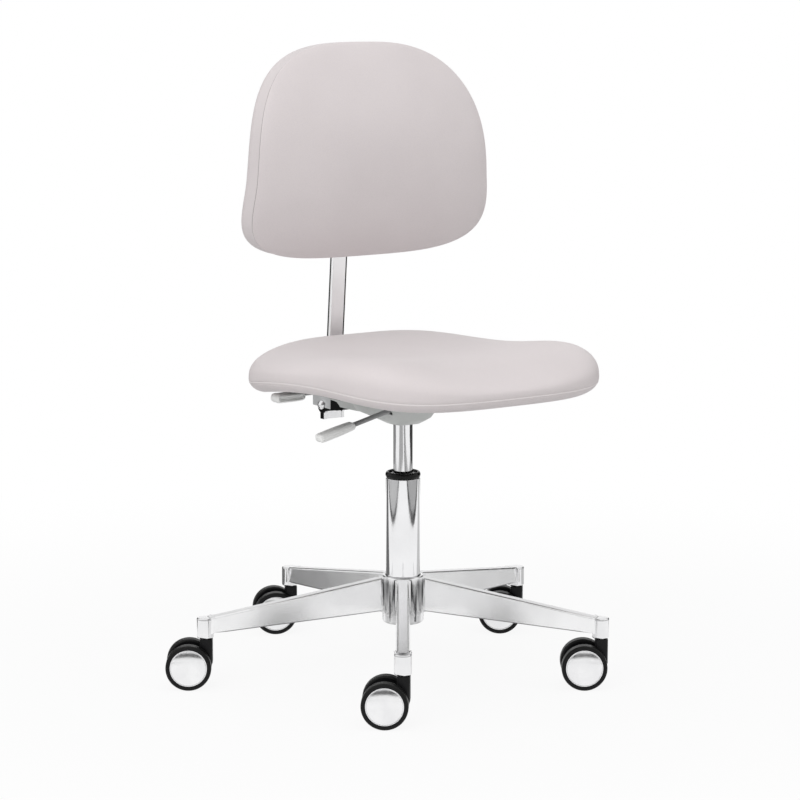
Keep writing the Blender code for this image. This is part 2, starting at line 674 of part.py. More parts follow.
def mechanism_plate(lift):
    under = PLATE_TOP - PLATE_THICKNESS
    channel_floor = MECHANISM_BOTTOM + CHANNEL_RISE
    half = CHANNEL_WIDTH / 2
    plate = box("mechanism_plate", (-PLATE_WIDTH / 2, PLATE_FRONT, under),
                (PLATE_WIDTH / 2, PLATE_REAR, PLATE_TOP), GREY_STEEL, lift)
    channel = box("channel_outside", (-half, CHANNEL_FRONT, channel_floor),
                  (half, CHANNEL_REAR, PLATE_TOP - PLATE_THICKNESS / 2), None, lift)
    boolean(plate, channel, "UNION")
    inside = half - CHANNEL_WALL
    hollow = box("channel_inside", (-inside, CHANNEL_FRONT - CHANNEL_WALL, channel_floor + CHANNEL_WALL),
                 (inside, CHANNEL_REAR + CHANNEL_WALL, under - CLEARANCE), None, lift)
    boolean(plate, hollow, "DIFFERENCE")
    socket_radius = TUBE_RADIUS + CLEARANCE + SOCKET_TUBE_WALL
    socket = rod("cone_socket", socket_radius, (0, 0, SOCKET_TUBE_BOTTOM), (0, 0, TUBE_TOP + CLEARANCE),
                 24, None, lift)
    boolean(plate, socket, "UNION")
    inner = BAR_WIDTH / 2 + HINGE_SIDE_GAP
    cheeks = ((inner, inner + CHEEK_THICKNESS), (-inner - CHEEK_THICKNESS, -inner))
    for number, (low, high) in enumerate(cheeks):
        boolean(plate, prism(f"hinge_cheek_{number}", cheek_outline(), low, high, "X", None, lift), "UNION")
    bridge_half = TOE_LENGTH / 2 - CLEARANCE
    bridge_side = inner + CHEEK_THICKNESS / 2
    bridge_top = PIVOT_Z - KNUCKLE_RADIUS - BRIDGE_GAP
    bridge = box("hinge_bridge", (-bridge_side, PIVOT_Y - bridge_half, PIVOT_Z - TOE_DROP + CLEARANCE),
                 (bridge_side, PIVOT_Y + bridge_half, bridge_top), None, lift)
    boolean(plate, bridge, "UNION")
    cuts = bmesh.new()
    add_rod(cuts, TUBE_RADIUS + CLEARANCE, (0, 0, MECHANISM_BOTTOM), (0, 0, TUBE_TOP + CHANNEL_WALL), 24)
    add_rod(cuts, PIVOT_BOLT_RADIUS + CLEARANCE, (-CHANNEL_WIDTH, PIVOT_Y, PIVOT_Z),
            (CHANNEL_WIDTH, PIVOT_Y, PIVOT_Z), 12)
    hole = LEVER_ROD_RADIUS + LEVER_PLAY
    for y, z in ((GAS_LEVER_Y, GAS_LEVER_Z), (TILT_LEVER_Y, TILT_LEVER_Z)):
        add_rod(cuts, hole, (-half - CHANNEL_WALL, y, z), (-inside + CHANNEL_WALL, y, z), 12)
    boolean(plate, place("plate_holes", cuts, None, lift), "DIFFERENCE")


def cover_ring(rise, half_width, front, rear, inset):
    middle = (front + rear) / 2
    half_length = (rear - front) / 2
    ring = []
    for u, v in squircle(COVER_SIDES, COVER_SQUARENESS):
        x = (half_width - inset) * u
        y = middle + (half_length - inset) * v
        ring.append(Vector((x, y, MECHANISM_BOTTOM + rise)))
    return ring


def mechanism_cover(lift):
    """Pale tray round the mechanism, open at the top, with a hole for the gas spring and two lever slots."""
    rings = [cover_ring(*level, 0) for level in COVER_LEVELS]
    hole = TUBE_RADIUS + COVER_HOLE_PLAY
    rings.append(cover_ring(0, hole, -hole, hole, 0))
    rings.append(cover_ring(COVER_WALL, hole, -hole, hole, 0))
    for rise, half_width, front, rear in reversed(COVER_LEVELS[1:-1]):
        rings.append(cover_ring(rise + COVER_WALL / 2, half_width, front, rear, COVER_WALL))
    rings.append(cover_ring(*COVER_LEVELS[0], COVER_WALL))
    cover = loft("mechanism_cover", rings, PALE_PLASTIC, lift, loop=True)
    outside = COVER_LEVELS[0][1] + COVER_WALL
    rear_end = COVER_LEVELS[0][3] + COVER_WALL
    cheek = BAR_WIDTH / 2 + HINGE_SIDE_GAP + CHEEK_THICKNESS + SWIVEL_GAP
    cuts = bmesh.new()
    add_box(cuts, (-cheek, CHEEK_FRONT, MECHANISM_BOTTOM - COVER_WALL),
            (cheek, rear_end, PIVOT_Z + CHEEK_TOP_RISE + SWIVEL_GAP))
    reach = LEVER_ROD_RADIUS + LEVER_PLAY
    for y, z in ((GAS_LEVER_Y, GAS_LEVER_Z), (TILT_LEVER_Y, TILT_LEVER_Z)):
        add_box(cuts, (-outside, y - reach, z - reach - 2 * LEVER_SWING),
                (LEVER_PIVOT_X - CHANNEL_WALL / 2, y + reach, z + reach + LEVER_SWING))
    boolean(cover, place("cover_openings", cuts, None, lift), "DIFFERENCE")


# Levers


def grip(name, stations, start, hang, parent):
    """A moulded grip: rounded sections along the lever's local X axis, bored for the rod it hangs from."""
    rings = []
    for along, half_width, half_height in stations:
        ring = []
        for u, v in squircle(16, GRIP_ROUNDNESS):
            ring.append(Vector((start + along, half_width * u, half_height * v - hang)))
        rings.append(ring)
    handle = loft(name, rings, PALE_PLASTIC, parent)
    bore = rod(name + "_bore", LEVER_ROD_RADIUS + CLEARANCE, (start - LEVER_ROD_RADIUS, 0, 0),
               (start + LEVER_IN_GRIP + CLEARANCE, 0, 0), 12, None, parent)
    boolean(handle, bore, "DIFFERENCE")


def grip_stations(length, width, thickness):
    """Sections of a grip that swells from the rod to a broad rounded end."""
    full = width / 2
    deep = thickness / 2
    neck = LEVER_ROD_RADIUS + CLEARANCE + GRIP_NECK_WALL
    return (
        (0.0, (neck + full) / 2, (neck + deep) / 2),
        (0.06 * length, 0.82 * full, 0.96 * deep),
        (0.35 * length, 0.95 * full, deep),
        (0.75 * length, full, deep),
        (0.94 * length, 0.9 * full, 0.86 * deep),
        (length, 0.6 * full, 0.5 * deep),
    )


def gas_lever(lift):
    """Straight rod that pivots in the channel's wall; its inner tongue lies over the release button."""
    pivot = axis_empty("gas_lever_axis", (LEVER_PIVOT_X, GAS_LEVER_Y, GAS_LEVER_Z),
                       (0, math.radians(GAS_LEVER_SLOPE_DEG), math.pi), lift)
    grip_start = GAS_LEVER_REACH - GAS_GRIP_LENGTH
    to_button = -LEVER_PIVOT_X / math.cos(math.radians(GAS_LEVER_SLOPE_DEG))
    tongue_end = -to_button - TONGUE_OVERHANG
    lever = rod("gas_lever_rod", LEVER_ROD_RADIUS, (tongue_end + LEVER_ROD_RADIUS, 0, 0),
                (grip_start + LEVER_IN_GRIP, 0, 0), 12, BRIGHT_STEEL, pivot)
    tongue = box("gas_lever_tongue", (tongue_end, GAS_LEVER_Y - TONGUE_OVERHANG, -TONGUE_THICKNESS / 2),
                 (tongue_end + TONGUE_LENGTH, LEVER_ROD_RADIUS, TONGUE_THICKNESS / 2), None, pivot)
    boolean(lever, tongue, "UNION")
    stations = grip_stations(GAS_GRIP_LENGTH, GAS_GRIP_WIDTH, GAS_GRIP_THICKNESS)
    grip("gas_lever_grip", stations, grip_start, 0, pivot)


def tilt_lever(lift):
    """Rear lever that frees and holds the back's tilt."""
    pivot = axis_empty("tilt_lever_axis", (LEVER_PIVOT_X, TILT_LEVER_Y, TILT_LEVER_Z),
                       (0, 0, math.pi), lift)
    grip_start = TILT_LEVER_REACH - TILT_GRIP_LENGTH
    rod("tilt_lever_rod", LEVER_ROD_RADIUS, (-TILT_LEVER_TAIL, 0, 0), (grip_start + LEVER_IN_GRIP, 0, 0), 12,
        BRIGHT_STEEL, pivot)
    stations = grip_stations(TILT_GRIP_LENGTH, TILT_GRIP_WIDTH, TILT_GRIP_THICKNESS)
    grip("tilt_lever_grip", stations, grip_start, TILT_GRIP_HANG, pivot)


# Back


def pivot_bolt(lift):
    """Riveted hinge bolt along X with a low domed head at each end."""
    shank = BAR_WIDTH / 2 + HINGE_SIDE_GAP + CHEEK_THICKNESS + CLEARANCE
    half = dome(PIVOT_HEAD_RADIUS, shank, PIVOT_HEAD_HEIGHT, 3) + [(PIVOT_BOLT_RADIUS, shank)]
    profile = half + [(r, -z) for r, z in reversed(half)]
    turned("tilt_pivot_bolt", profile, 16, BRIGHT_STEEL, lift, location=(0, PIVOT_Y, PIVOT_Z),
           rotation=(0, math.pi / 2, 0))


def back_bar(tilt):
    half = BAR_WIDTH / 2
    thick = BAR_THICKNESS / 2
    bar = box("back_bar", (-half, -thick, 0), (half, thick, BAR_LENGTH), BRIGHT_STEEL, tilt)
    knuckle = rod("bar_knuckle", KNUCKLE_RADIUS, (-half, 0, 0), (half, 0, 0), 20, None, tilt)
    boolean(bar, knuckle, "UNION")
    hole = rod("bar_pivot_hole", PIVOT_BOLT_RADIUS + CLEARANCE, (-BAR_WIDTH, 0, 0), (BAR_WIDTH, 0, 0), 12,
               None, tilt)
    boolean(bar, hole, "DIFFERENCE")


def back_offset(t):
    """How far the curved back lies behind its foremost line, at a height t from it."""
    return t * t / (2 * BACK_CURVE_RADIUS)


def back_outline(inset):
    """The back's outline, drawn in by inset: points (x, t), t being the height from the widest line."""
    def squareness(s):
        return BACK_TOP_SQUARENESS if s >= 0 else BACK_FOOT_SQUARENESS

    points = []
    for u, v in squircle(BACK_SIDES, squareness):
        x = (BACK_WIDTH / 2 - inset) * u * (1 - BACK_TAPER * v + BACK_WAIST * v * v)
        t = ((BACK_RISE if v >= 0 else BACK_DROP) - inset) * v
        points.append((x, t))
    return points


def back_ring(inset, depth, share=1.0):
    """A ring of the back at a depth behind its front rim, shrunk to a share of the outline."""
    sink = BACK_REAR_SINK * depth / BACK_THICKNESS
    ring = []
    for x, t in back_outline(inset):
        t = t * share - sink
        ring.append(Vector((x * share, depth - BACK_REACH + back_offset(t), BACK_MIDDLE + t)))
    return ring


def back_centre(depth):
    sink = BACK_REAR_SINK * depth / BACK_THICKNESS
    return [Vector((0, depth - BACK_REACH + back_offset(sink), BACK_MIDDLE - sink))]


def back_board(height):
    front = BACK_THICKNESS - BACK_BOARD_THICKNESS
    rings = [back_centre(front)]
    for share in BACK_BOARD_SHARES:
        rings.append(back_ring(BACK_BOARD_INSET, front, share))
    for share in reversed(BACK_BOARD_SHARES):
        rings.append(back_ring(BACK_BOARD_INSET, BACK_THICKNESS, share))
    rings.append(back_centre(BACK_THICKNESS))
    loft("back_board", rings, PALE_PLASTIC, height)


def back_cushion(height):
    """Crowned pad with a sewn channel at the front edge and a pocket for the board behind."""
    rings = [back_centre(-BACK_CROWN)]
    for share in (0.3, 0.55, 0.75, 0.88, 0.955):
        swell = (1 - share ** BACK_ROLL) ** (1 / BACK_ROLL)
        rings.append(back_ring(0, -BACK_CROWN * swell, share))
    rings.append(back_ring(SEAM_CHANNEL, 0))
    rings.append(back_ring(2 * SEAM_CHANNEL, SEAM_CHANNEL))
    rings.append(back_ring(0, 2 * SEAM_CHANNEL))
    rings.append(back_ring(SEAM_CHANNEL, BACK_THICKNESS / 2))
    rings.append(back_ring(BACK_REAR_TUCK / 3, BACK_THICKNESS - BACK_REAR_TUCK / 2))
    rings.append(back_ring(BACK_REAR_TUCK, BACK_THICKNESS))
    pocket = BACK_BOARD_INSET - CLEARANCE
    pocket_floor = BACK_THICKNESS - BACK_BOARD_THICKNESS - CLEARANCE
    rings.append(back_ring(pocket, BACK_THICKNESS))
    for share in reversed(BACK_BOARD_SHARES):
        rings.append(back_ring(pocket, pocket_floor, share))
    rings.append(back_centre(pocket_floor))
    loft("back_cushion", rings, UPHOLSTERY, height)


def back_sleeve(height):
    """Bracket between board and bar: a flange on the board and a sleeve that slides on the bar."""
    half_flange = SLEEVE_FLANGE_HEIGHT / 2
    front = BACK_THICKNESS - BACK_REACH + back_offset(half_flange) + 2 * CLEARANCE
    middle = BACK_MIDDLE
    flange_low = (-SLEEVE_FLANGE_WIDTH / 2, front, middle - half_flange)
    flange_high = (SLEEVE_FLANGE_WIDTH / 2, front + SLEEVE_FLANGE_THICKNESS, middle + half_flange)
    sleeve = box("back_sleeve", flange_low, flange_high, BLACK_NYLON, height)
    half_width = BAR_WIDTH / 2 + CLEARANCE + SLEEVE_WALL
    rear = BAR_THICKNESS / 2 + CLEARANCE + SLEEVE_WALL
    body = box("sleeve_body", (-half_width, front + SLEEVE_FLANGE_THICKNESS / 2, middle - SLEEVE_HEIGHT / 2),
               (half_width, rear, middle + SLEEVE_HEIGHT / 2), None, height)
    boolean(sleeve, body, "UNION")
    slot_x = BAR_WIDTH / 2 + CLEARANCE
    slot_y = BAR_THICKNESS / 2 + CLEARANCE
    slot = box("sleeve_slot", (-slot_x, -slot_y, middle - SLEEVE_HEIGHT),
               (slot_x, slot_y, middle + SLEEVE_HEIGHT), None, height)
    boolean(sleeve, slot, "DIFFERENCE")
    stud_hole = rod("sleeve_stud_hole", KNOB_STUD_RADIUS + CLEARANCE, (0, 0, middle), (0, 2 * rear, middle),
                    12, None, height)
    boolean(sleeve, stud_hole, "DIFFERENCE")


def clamp_knob(height):
    """Knob behind the sleeve, whose stud presses on the bar."""
    axis = axis_empty("clamp_knob_axis", (0, 0, BACK_MIDDLE), (-math.pi / 2, 0, 0), height)
    tip = BAR_THICKNESS / 2 + CLEARANCE
    back = tip + SLEEVE_WALL + CLEARANCE
    top = back + KNOB_HEIGHT
    rounding = KNOB_RADIUS - KNOB_WAIST
    profile = [(0, top), (KNOB_RADIUS - rounding / 2, top), (KNOB_RADIUS, top - rounding / 2),
               (KNOB_RADIUS, back + rounding), (KNOB_WAIST, back), (KNOB_STUD_RADIUS, back),
               (KNOB_STUD_RADIUS, tip), (0, tip)]
    turned("clamp_knob", profile, 20, BLACK_NYLON, axis)


# Seat


def seat_point(u, v, z, inset=0.0):
    """A point of the seat's plan: u and v run from -1 to 1 across and from front to rear."""
    flare = 1 + SEAT_REAR_FLARE * v + SEAT_CORNER_FLARE * v * v
    return Vector(((SEAT_WIDTH / 2 - inset) * u * flare, SEAT_MIDDLE_Y + (SEAT_DEPTH / 2 - inset) * v, z))


def seat_rim(u, v):
    """Height of the pad's lower edge, which rises at the sides and falls to the rear."""
    return PLATE_TOP - SEAT_RIM_DROP + SEAT_SIDE_LIFT * u * u * (1 - v * v) - SEAT_TILT * v


def seat_top(u, v):
    """Height of the pad's top before its edge is rolled over: hollow in the middle, high at the rim."""
    shape = SEAT_CROWN + SEAT_PITCH * v + SEAT_HOLLOW_LENGTHWISE * v * v + SEAT_HOLLOW_SIDEWAYS * u * u
    shape += SEAT_FRONT_CORNERS * u * u * v + SEAT_REAR_RIM * v ** 3 + SEAT_ALL_CORNERS * u * u * v * v
    return PLATE_TOP - SEAT_RIM_DROP + shape


def seat_upper_ring(share):
    ring = []
    swell = (1 - share ** SEAT_ROLL) ** (1 / SEAT_ROLL)
    for u, v in squircle(SEAT_SIDES, SEAT_SQUARENESS):
        widest = seat_rim(u, v) + SEAT_BAND
        top = seat_top(share * u, share * v)
        ring.append(seat_point(share * u, share * v, widest + (top - widest) * swell))
    return ring


def seat_lower_ring(angle_deg, inset=0.0):
    """A ring of the lower roll: 0 degrees is the widest line and 90 the lower edge."""
    angle = math.radians(angle_deg)
    drawn_in = SEAT_TUCK * (1 - math.cos(angle)) + inset
    ring = []
    for u, v in squircle(SEAT_SIDES, SEAT_SQUARENESS):
        ring.append(seat_point(u, v, seat_rim(u, v) + SEAT_BAND * (1 - math.sin(angle)), drawn_in))
    return ring


def seat_level_ring(inset, z):
    return [seat_point(u, v, z, inset) for u, v in squircle(SEAT_SIDES, SEAT_SQUARENESS)]


def seat_board(lift):
    top = SEAT_BOARD_BOTTOM + SEAT_BOARD_THICKNESS
    rings = [seat_level_ring(SEAT_BOARD_INSET, z) for z in (SEAT_BOARD_BOTTOM, top)]
    loft("seat_board", rings, PLYWOOD, lift)


def seat_cushion(lift):
    """Contoured pad with a sewn channel under its widest line and a pocket for the board below."""
    rings = [[seat_point(0, 0, seat_top(0, 0))]]
    for share in (0.22, 0.42, 0.6, 0.74, 0.85, 0.92, 0.97):
        rings.append(seat_upper_ring(share))
    rings.append(seat_lower_ring(0))
    rings.append(seat_lower_ring(13))
    rings.append(seat_lower_ring(19, SEAM_CHANNEL))
    rings.append(seat_lower_ring(25))
    rings.append(seat_lower_ring(55))
    rings.append(seat_lower_ring(90))
    pocket = SEAT_BOARD_INSET - CLEARANCE
    rings.append(seat_level_ring(pocket, SEAT_BOARD_BOTTOM + CLEARANCE))
    pocket_top = SEAT_BOARD_BOTTOM + SEAT_BOARD_THICKNESS + CLEARANCE
    rings.append(seat_level_ring(pocket, pocket_top))
    rings.append([seat_point(0, 0, pocket_top)])
    loft("seat_cushion", rings, UPHOLSTERY, lift)


def build():
    arm_angles = [ARM_FIRST_DEG + 360 * k / len(CASTOR_HEADING_DEG) for k in range(len(CASTOR_HEADING_DEG))]
    star_base(arm_angles)
    for number, (arm_deg, heading_deg) in enumerate(zip(arm_angles, CASTOR_HEADING_DEG), 1):
        castor(number, arm_deg, heading_deg)
    swivel = axis_empty("seat_swivel_axis", (0, 0, 0))
    lift = axis_empty("seat_lift_axis", (0, 0, 0), parent=swivel)
    gas_spring(swivel, lift)
    release_button(lift)
    mechanism_plate(lift)
    mechanism_cover(lift)
    gas_lever(lift)
    tilt_lever(lift)
    seat_board(lift)
    seat_cushion(lift)
    pivot_bolt(lift)
    tilt = axis_empty("back_tilt_axis", (0, PIVOT_Y, PIVOT_Z), (math.radians(BACK_LEAN_DEG), 0, 0), lift)
    height = axis_empty("back_height_axis", (0, 0, 0), parent=tilt)
    back_bar(tilt)
    back_sleeve(height)
    back_board(height)
    back_cushion(height)
    clamp_knob(height)


build()
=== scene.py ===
import json
import math

import bmesh
import bpy
from mathutils import Euler, Matrix, Vector


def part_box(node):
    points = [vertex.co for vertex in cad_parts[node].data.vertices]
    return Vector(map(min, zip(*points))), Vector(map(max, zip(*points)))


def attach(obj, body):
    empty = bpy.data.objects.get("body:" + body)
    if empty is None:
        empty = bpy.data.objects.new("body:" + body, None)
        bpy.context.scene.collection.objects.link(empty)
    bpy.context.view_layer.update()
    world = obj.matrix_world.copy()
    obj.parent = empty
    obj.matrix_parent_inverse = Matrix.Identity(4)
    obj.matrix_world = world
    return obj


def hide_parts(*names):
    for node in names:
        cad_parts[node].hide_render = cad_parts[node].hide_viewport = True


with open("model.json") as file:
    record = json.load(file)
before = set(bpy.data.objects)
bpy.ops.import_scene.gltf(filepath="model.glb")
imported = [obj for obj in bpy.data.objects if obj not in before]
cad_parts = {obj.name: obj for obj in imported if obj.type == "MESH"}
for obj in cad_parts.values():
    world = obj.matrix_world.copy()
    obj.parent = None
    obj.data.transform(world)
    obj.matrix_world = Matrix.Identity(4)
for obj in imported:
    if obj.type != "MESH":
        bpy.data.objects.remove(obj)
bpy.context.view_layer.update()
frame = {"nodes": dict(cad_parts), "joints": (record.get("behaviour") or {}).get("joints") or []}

nodes = frame["nodes"]
joints = {joint["name"]: joint for joint in frame["joints"]}
scene = bpy.context.scene
scene.view_settings.view_transform = "Standard"
print("frame loaded,", len(nodes), "nodes")

# camera at the photograph's place
photoView = {"turn": 34.0, "distance": 4.0907, "height": 1.0794, "dip": 9.388, "yaw": 0.0606, "lens": 128.4165}


def setCamera(view):
    data = bpy.data.cameras.new("photoCamera")
    data.sensor_width = 36.0
    data.lens = view["lens"]
    data.clip_end = 60.0
    camera = bpy.data.objects.new("photoCamera", data)
    turn = math.radians(view["turn"])
    camera.location = (-view["distance"] * math.sin(turn), -view["distance"] * math.cos(turn), view["height"])
    camera.rotation_euler = (math.radians(90 - view["dip"]), 0, math.radians(view["yaw"]) - turn)
    scene.collection.objects.link(camera)
    scene.camera = camera


setCamera(photoView)


# node helpers
def addNode(tree, kind, inputs=None, **settings):
    node = tree.nodes.new(kind)
    node.location.x = 220 * len(tree.nodes)
    for name, value in settings.items():
        setattr(node, name, value)
    for name, value in (inputs or {}).items():
        if isinstance(value, bpy.types.NodeSocket):
            tree.links.new(value, node.inputs[name])
        else:
            node.inputs[name].default_value = value
    return node


# floor, sky, lamps and the cards that the metal mirrors
studio = {
    "floorSize": 60.0,
    "floorColour": (0.72, 0.72, 0.72, 1),
    # share of plain white that the camera sees in the floor, near the chair and far off, and the metres from
    # the middle over which it goes from one to the other, then the same for what the metal mirrors
    "seenGlow": (0.91, 1.0),
    "seenFade": (0.40, 1.50),
    "mirroredGlow": (0.60, 1.0),
    "mirroredFade": (0.12, 0.32),
    "sky": 0.64,
    "aim": (0, 0, 0.45),
    "lamps": {
        "keyLamp": {"at": (-3.1, -1.3, 2.2), "size": 2.4, "power": 44},
        "topLamp": {"at": (-0.2, -0.3, 3.4), "size": 2.6, "power": 25},
        "frontLamp": {"at": (1.6, -3.4, 1.4), "size": 2.0, "power": 15},
    },
    # turn is from the camera's side of the chair, to the right of the picture; deep cards lie, high ones stand
    "cards": {
        "leftEdge": {"turn": -70, "near": 1.08, "deep": 0.09, "wide": 4.4, "low": 0.001, "grey": 0.06},
        "leftPaper": {"turn": -70, "near": 1.17, "deep": 0.43, "wide": 4.4, "low": 0.001, "grey": 0.54},
        "rightEdge": {"turn": 70, "near": 1.06, "deep": 0.12, "wide": 4.4, "low": 0.001, "grey": 0.04},
        "rightPaper": {"turn": 70, "near": 1.18, "deep": 0.42, "wide": 4.4, "low": 0.001, "grey": 0.42},
        "rearFloor": {"turn": 180, "near": 1.30, "deep": 1.72, "wide": 4.4, "low": 0.002, "grey": 0.12},
        "rearRoof": {"turn": 180, "near": 1.4, "deep": 7.0, "wide": 9.0, "low": 2.8, "grey": 0.62},
        "leftShade": {"turn": -130, "near": 0.5, "deep": 1.1, "wide": 0.62, "low": 0.002, "grey": 0.16},
        "rightShade": {"turn": 132, "near": 0.5, "deep": 1.1, "wide": 0.60, "low": 0.002, "grey": 0.60},
        "leftFar": {"turn": -125, "near": 1.62, "deep": 1.1, "wide": 2.2, "low": 0.002, "grey": 0.30},
        "rightFar": {"turn": 125, "near": 1.62, "deep": 1.1, "wide": 2.5, "low": 0.002, "grey": 0.05},
        "frontPaper": {"turn": -22, "near": 1.62, "deep": 0.85, "wide": 1.5, "low": 0.002, "grey": 0.42},
        "cameraWall": {"turn": 0, "near": 3.0, "high": 0.75, "wide": 6.4, "low": 0.65, "grey": 0.08},
        "leftPost": {"turn": -142, "near": 3.0, "high": 1.7, "wide": 2.0, "low": 0.0, "grey": 0.03},
        "rightPost": {"turn": 136, "near": 3.0, "high": 1.7, "wide": 2.4, "low": 0.0, "grey": 0.03},
    },
}


def anyOf(tree, *sockets):
    total = sockets[0]
    for socket in sockets[1:]:
        both = addNode(tree, "ShaderNodeMath", operation="MAXIMUM", inputs={0: total, 1: socket})
        total = both.outputs[0]
    return total


def emptyTree(owner):
    owner.use_nodes = True
    owner.node_tree.nodes.clear()
    return owner.node_tree


def addStage(name, bm, material):
    mesh = bpy.data.meshes.new(name)
    bm.to_mesh(mesh)
    bm.free()
    mesh.materials.append(material)
    thing = bpy.data.objects.new(name, mesh)
    scene.collection.objects.link(thing)
    return thing


def floorPaper(room):
    paper = bpy.data.materials.new("floorPaper")
    tree = emptyTree(paper)
    path = addNode(tree, "ShaderNodeLightPath")
    spot = addNode(tree, "ShaderNodeTexCoord")
    reach = addNode(tree, "ShaderNodeVectorMath", operation="LENGTH", inputs={0: spot.outputs["Object"]})
    mirrored = anyOf(tree, path.outputs["Is Glossy Ray"], path.outputs["Is Transmission Ray"])
    shares = []
    for way, ray in (("seen", path.outputs["Is Camera Ray"]), ("mirrored", mirrored)):
        (close, far), (glow, white) = room[way + "Fade"], room[way + "Glow"]
        fade = addNode(tree, "ShaderNodeMapRange", interpolation_type="SMOOTHSTEP",
                       inputs={"Value": reach.outputs["Value"], "From Min": close, "From Max": far,
                               "To Min": glow, "To Max": white})
        shares.append(addNode(tree, "ShaderNodeMath", operation="MULTIPLY",
                              inputs={0: ray, 1: fade.outputs["Result"]}).outputs[0])
    matt = addNode(tree, "ShaderNodeBsdfDiffuse", {"Color": room["floorColour"]})
    glow = addNode(tree, "ShaderNodeEmission", {"Color": (1, 1, 1, 1), "Strength": 1.0})
    mix = addNode(tree, "ShaderNodeMixShader",
                  {0: anyOf(tree, *shares), 1: matt.outputs[0], 2: glow.outputs[0]})
    addNode(tree, "ShaderNodeOutputMaterial", {"Surface": mix.outputs[0]})
    return paper


def cardAt(card):
    way = Matrix.Rotation(math.radians(card["turn"] - 90 - photoView["turn"]), 4, "Z")
    lies = "deep" in card
    long = card["deep"] if lies else card["high"]
    middle = (card["near"] + long / 2, 0, card["low"]) if lies else (card["near"], 0, card["low"] + long / 2)
    tip = Matrix.Rotation(0 if lies else math.pi / 2, 4, "Y")
    return way @ Matrix.Translation(middle) @ tip @ Matrix.Diagonal((long, card["wide"], 1, 1))


def setStudio(room):
    world = bpy.data.worlds.new("studioSky")
    scene.world = world
    tree = emptyTree(world)
    path = addNode(tree, "ShaderNodeLightPath")
    seen = anyOf(tree, path.outputs["Is Camera Ray"], path.outputs["Is Glossy Ray"],
                 path.outputs["Is Transmission Ray"])
    soft = addNode(tree, "ShaderNodeBackground", {"Color": (1, 1, 1, 1), "Strength": room["sky"]})
    plain = addNode(tree, "ShaderNodeBackground", {"Color": (1, 1, 1, 1), "Strength": 1.0})
    mix = addNode(tree, "ShaderNodeMixShader", {0: seen, 1: soft.outputs[0], 2: plain.outputs[0]})
    addNode(tree, "ShaderNodeOutputWorld", {"Surface": mix.outputs[0]})

    bm = bmesh.new()
    bmesh.ops.create_grid(bm, x_segments=2, y_segments=2, size=room["floorSize"] / 2)
    addStage("studioFloor", bm, floorPaper(room))

    for name, lamp in room["lamps"].items():
        data = bpy.data.lights.new(name, "AREA")
        data.size = lamp["size"]
        data.energy = lamp["power"]
        light = bpy.data.objects.new(name, data)
        light.location = lamp["at"]
        light.rotation_euler = (Vector(room["aim"]) - light.location).to_track_quat("-Z", "Y").to_euler()
        light.visible_camera = light.visible_glossy = False
        scene.collection.objects.link(light)

    for name, card in room["cards"].items():
        paint = bpy.data.materials.new(name + "Paint")
        tree = emptyTree(paint)
        plain = addNode(tree, "ShaderNodeEmission", {"Color": (1, 1, 1, 1), "Strength": card["grey"]})
        addNode(tree, "ShaderNodeOutputMaterial", {"Surface": plain.outputs[0]})
        bm = bmesh.new()
        bmesh.ops.create_grid(bm, x_segments=1, y_segments=1, size=0.5)
        bmesh.ops.transform(bm, matrix=cardAt(card), verts=bm.verts)
        panel = addStage(name, bm, paint)
        panel.visible_camera = panel.visible_diffuse = panel.visible_shadow = False


setStudio(studio)
print("studio set")


# surface effects that several finishes share
def newGroup(name, *scales):
    group = bpy.data.node_groups.new(name, "ShaderNodeTree")
    group.interface.new_socket("Vector", in_out="INPUT", socket_type="NodeSocketVector")
    for scale in scales:
        group.interface.new_socket(scale, in_out="INPUT", socket_type="NodeSocketFloat")
    for output in ("Height", "Tone", "Gloss"):
        group.interface.new_socket(output, in_out="OUTPUT", socket_type="NodeSocketFloat")
    return group, addNode(group, "NodeGroupInput").outputs


def closeGroup(group, height, tone, gloss):
    addNode(group, "NodeGroupOutput", {"Height": height, "Tone": tone, "Gloss": gloss})
    return group


def noise(group, vector, scale, detail, rough=0.5):
    return addNode(group, "ShaderNodeTexNoise",
                   {"Vector": vector, "Scale": scale, "Detail": detail, "Roughness": rough}).outputs


def maths(group, operation, *values, clamp=False):
    node = addNode(group, "ShaderNodeMath", dict(enumerate(values)), operation=operation, use_clamp=clamp)
    return node.outputs[0]


def ranged(group, value, low, high, blend="LINEAR"):
    return addNode(group, "ShaderNodeMapRange", {"Value": value, "From Min": low, "From Max": high},
                   interpolation_type=blend).outputs[0]


def makeHideGrain():
    # pebbled cells of a coated cloth, fine pores between them, and slow clouds of tone
    group, given = newGroup("hideGrain", "Cell Scale", "Cloud Scale")
    vector, scale = given["Vector"], given["Cell Scale"]
    nudge = addNode(group, "ShaderNodeVectorMath", operation="SCALE",
                    inputs={0: noise(group, vector, scale, 2.0)["Color"], "Scale": 0.0006})
    moved = addNode(group, "ShaderNodeVectorMath", {0: vector, 1: nudge.outputs[0]}, operation="ADD")
    cells = addNode(group, "ShaderNodeTexVoronoi", {"Vector": moved.outputs[0], "Scale": scale},
                    feature="DISTANCE_TO_EDGE")
    pebble = ranged(group, cells.outputs["Distance"], 0.0, 0.22, "SMOOTHSTEP")
    dust = noise(group, vector, maths(group, "MULTIPLY", scale, 3.1), 3.0)["Fac"]
    cloud = noise(group, vector, given["Cloud Scale"], 4.0)["Fac"]
    tone = ranged(group, maths(group, "MULTIPLY_ADD", pebble, 0.35, cloud), 0.35, 0.95)
    return closeGroup(group, maths(group, "MULTIPLY_ADD", dust, 0.35, pebble), tone,
                      maths(group, "MULTIPLY_ADD", cloud, 0.6, 0.2, clamp=True))


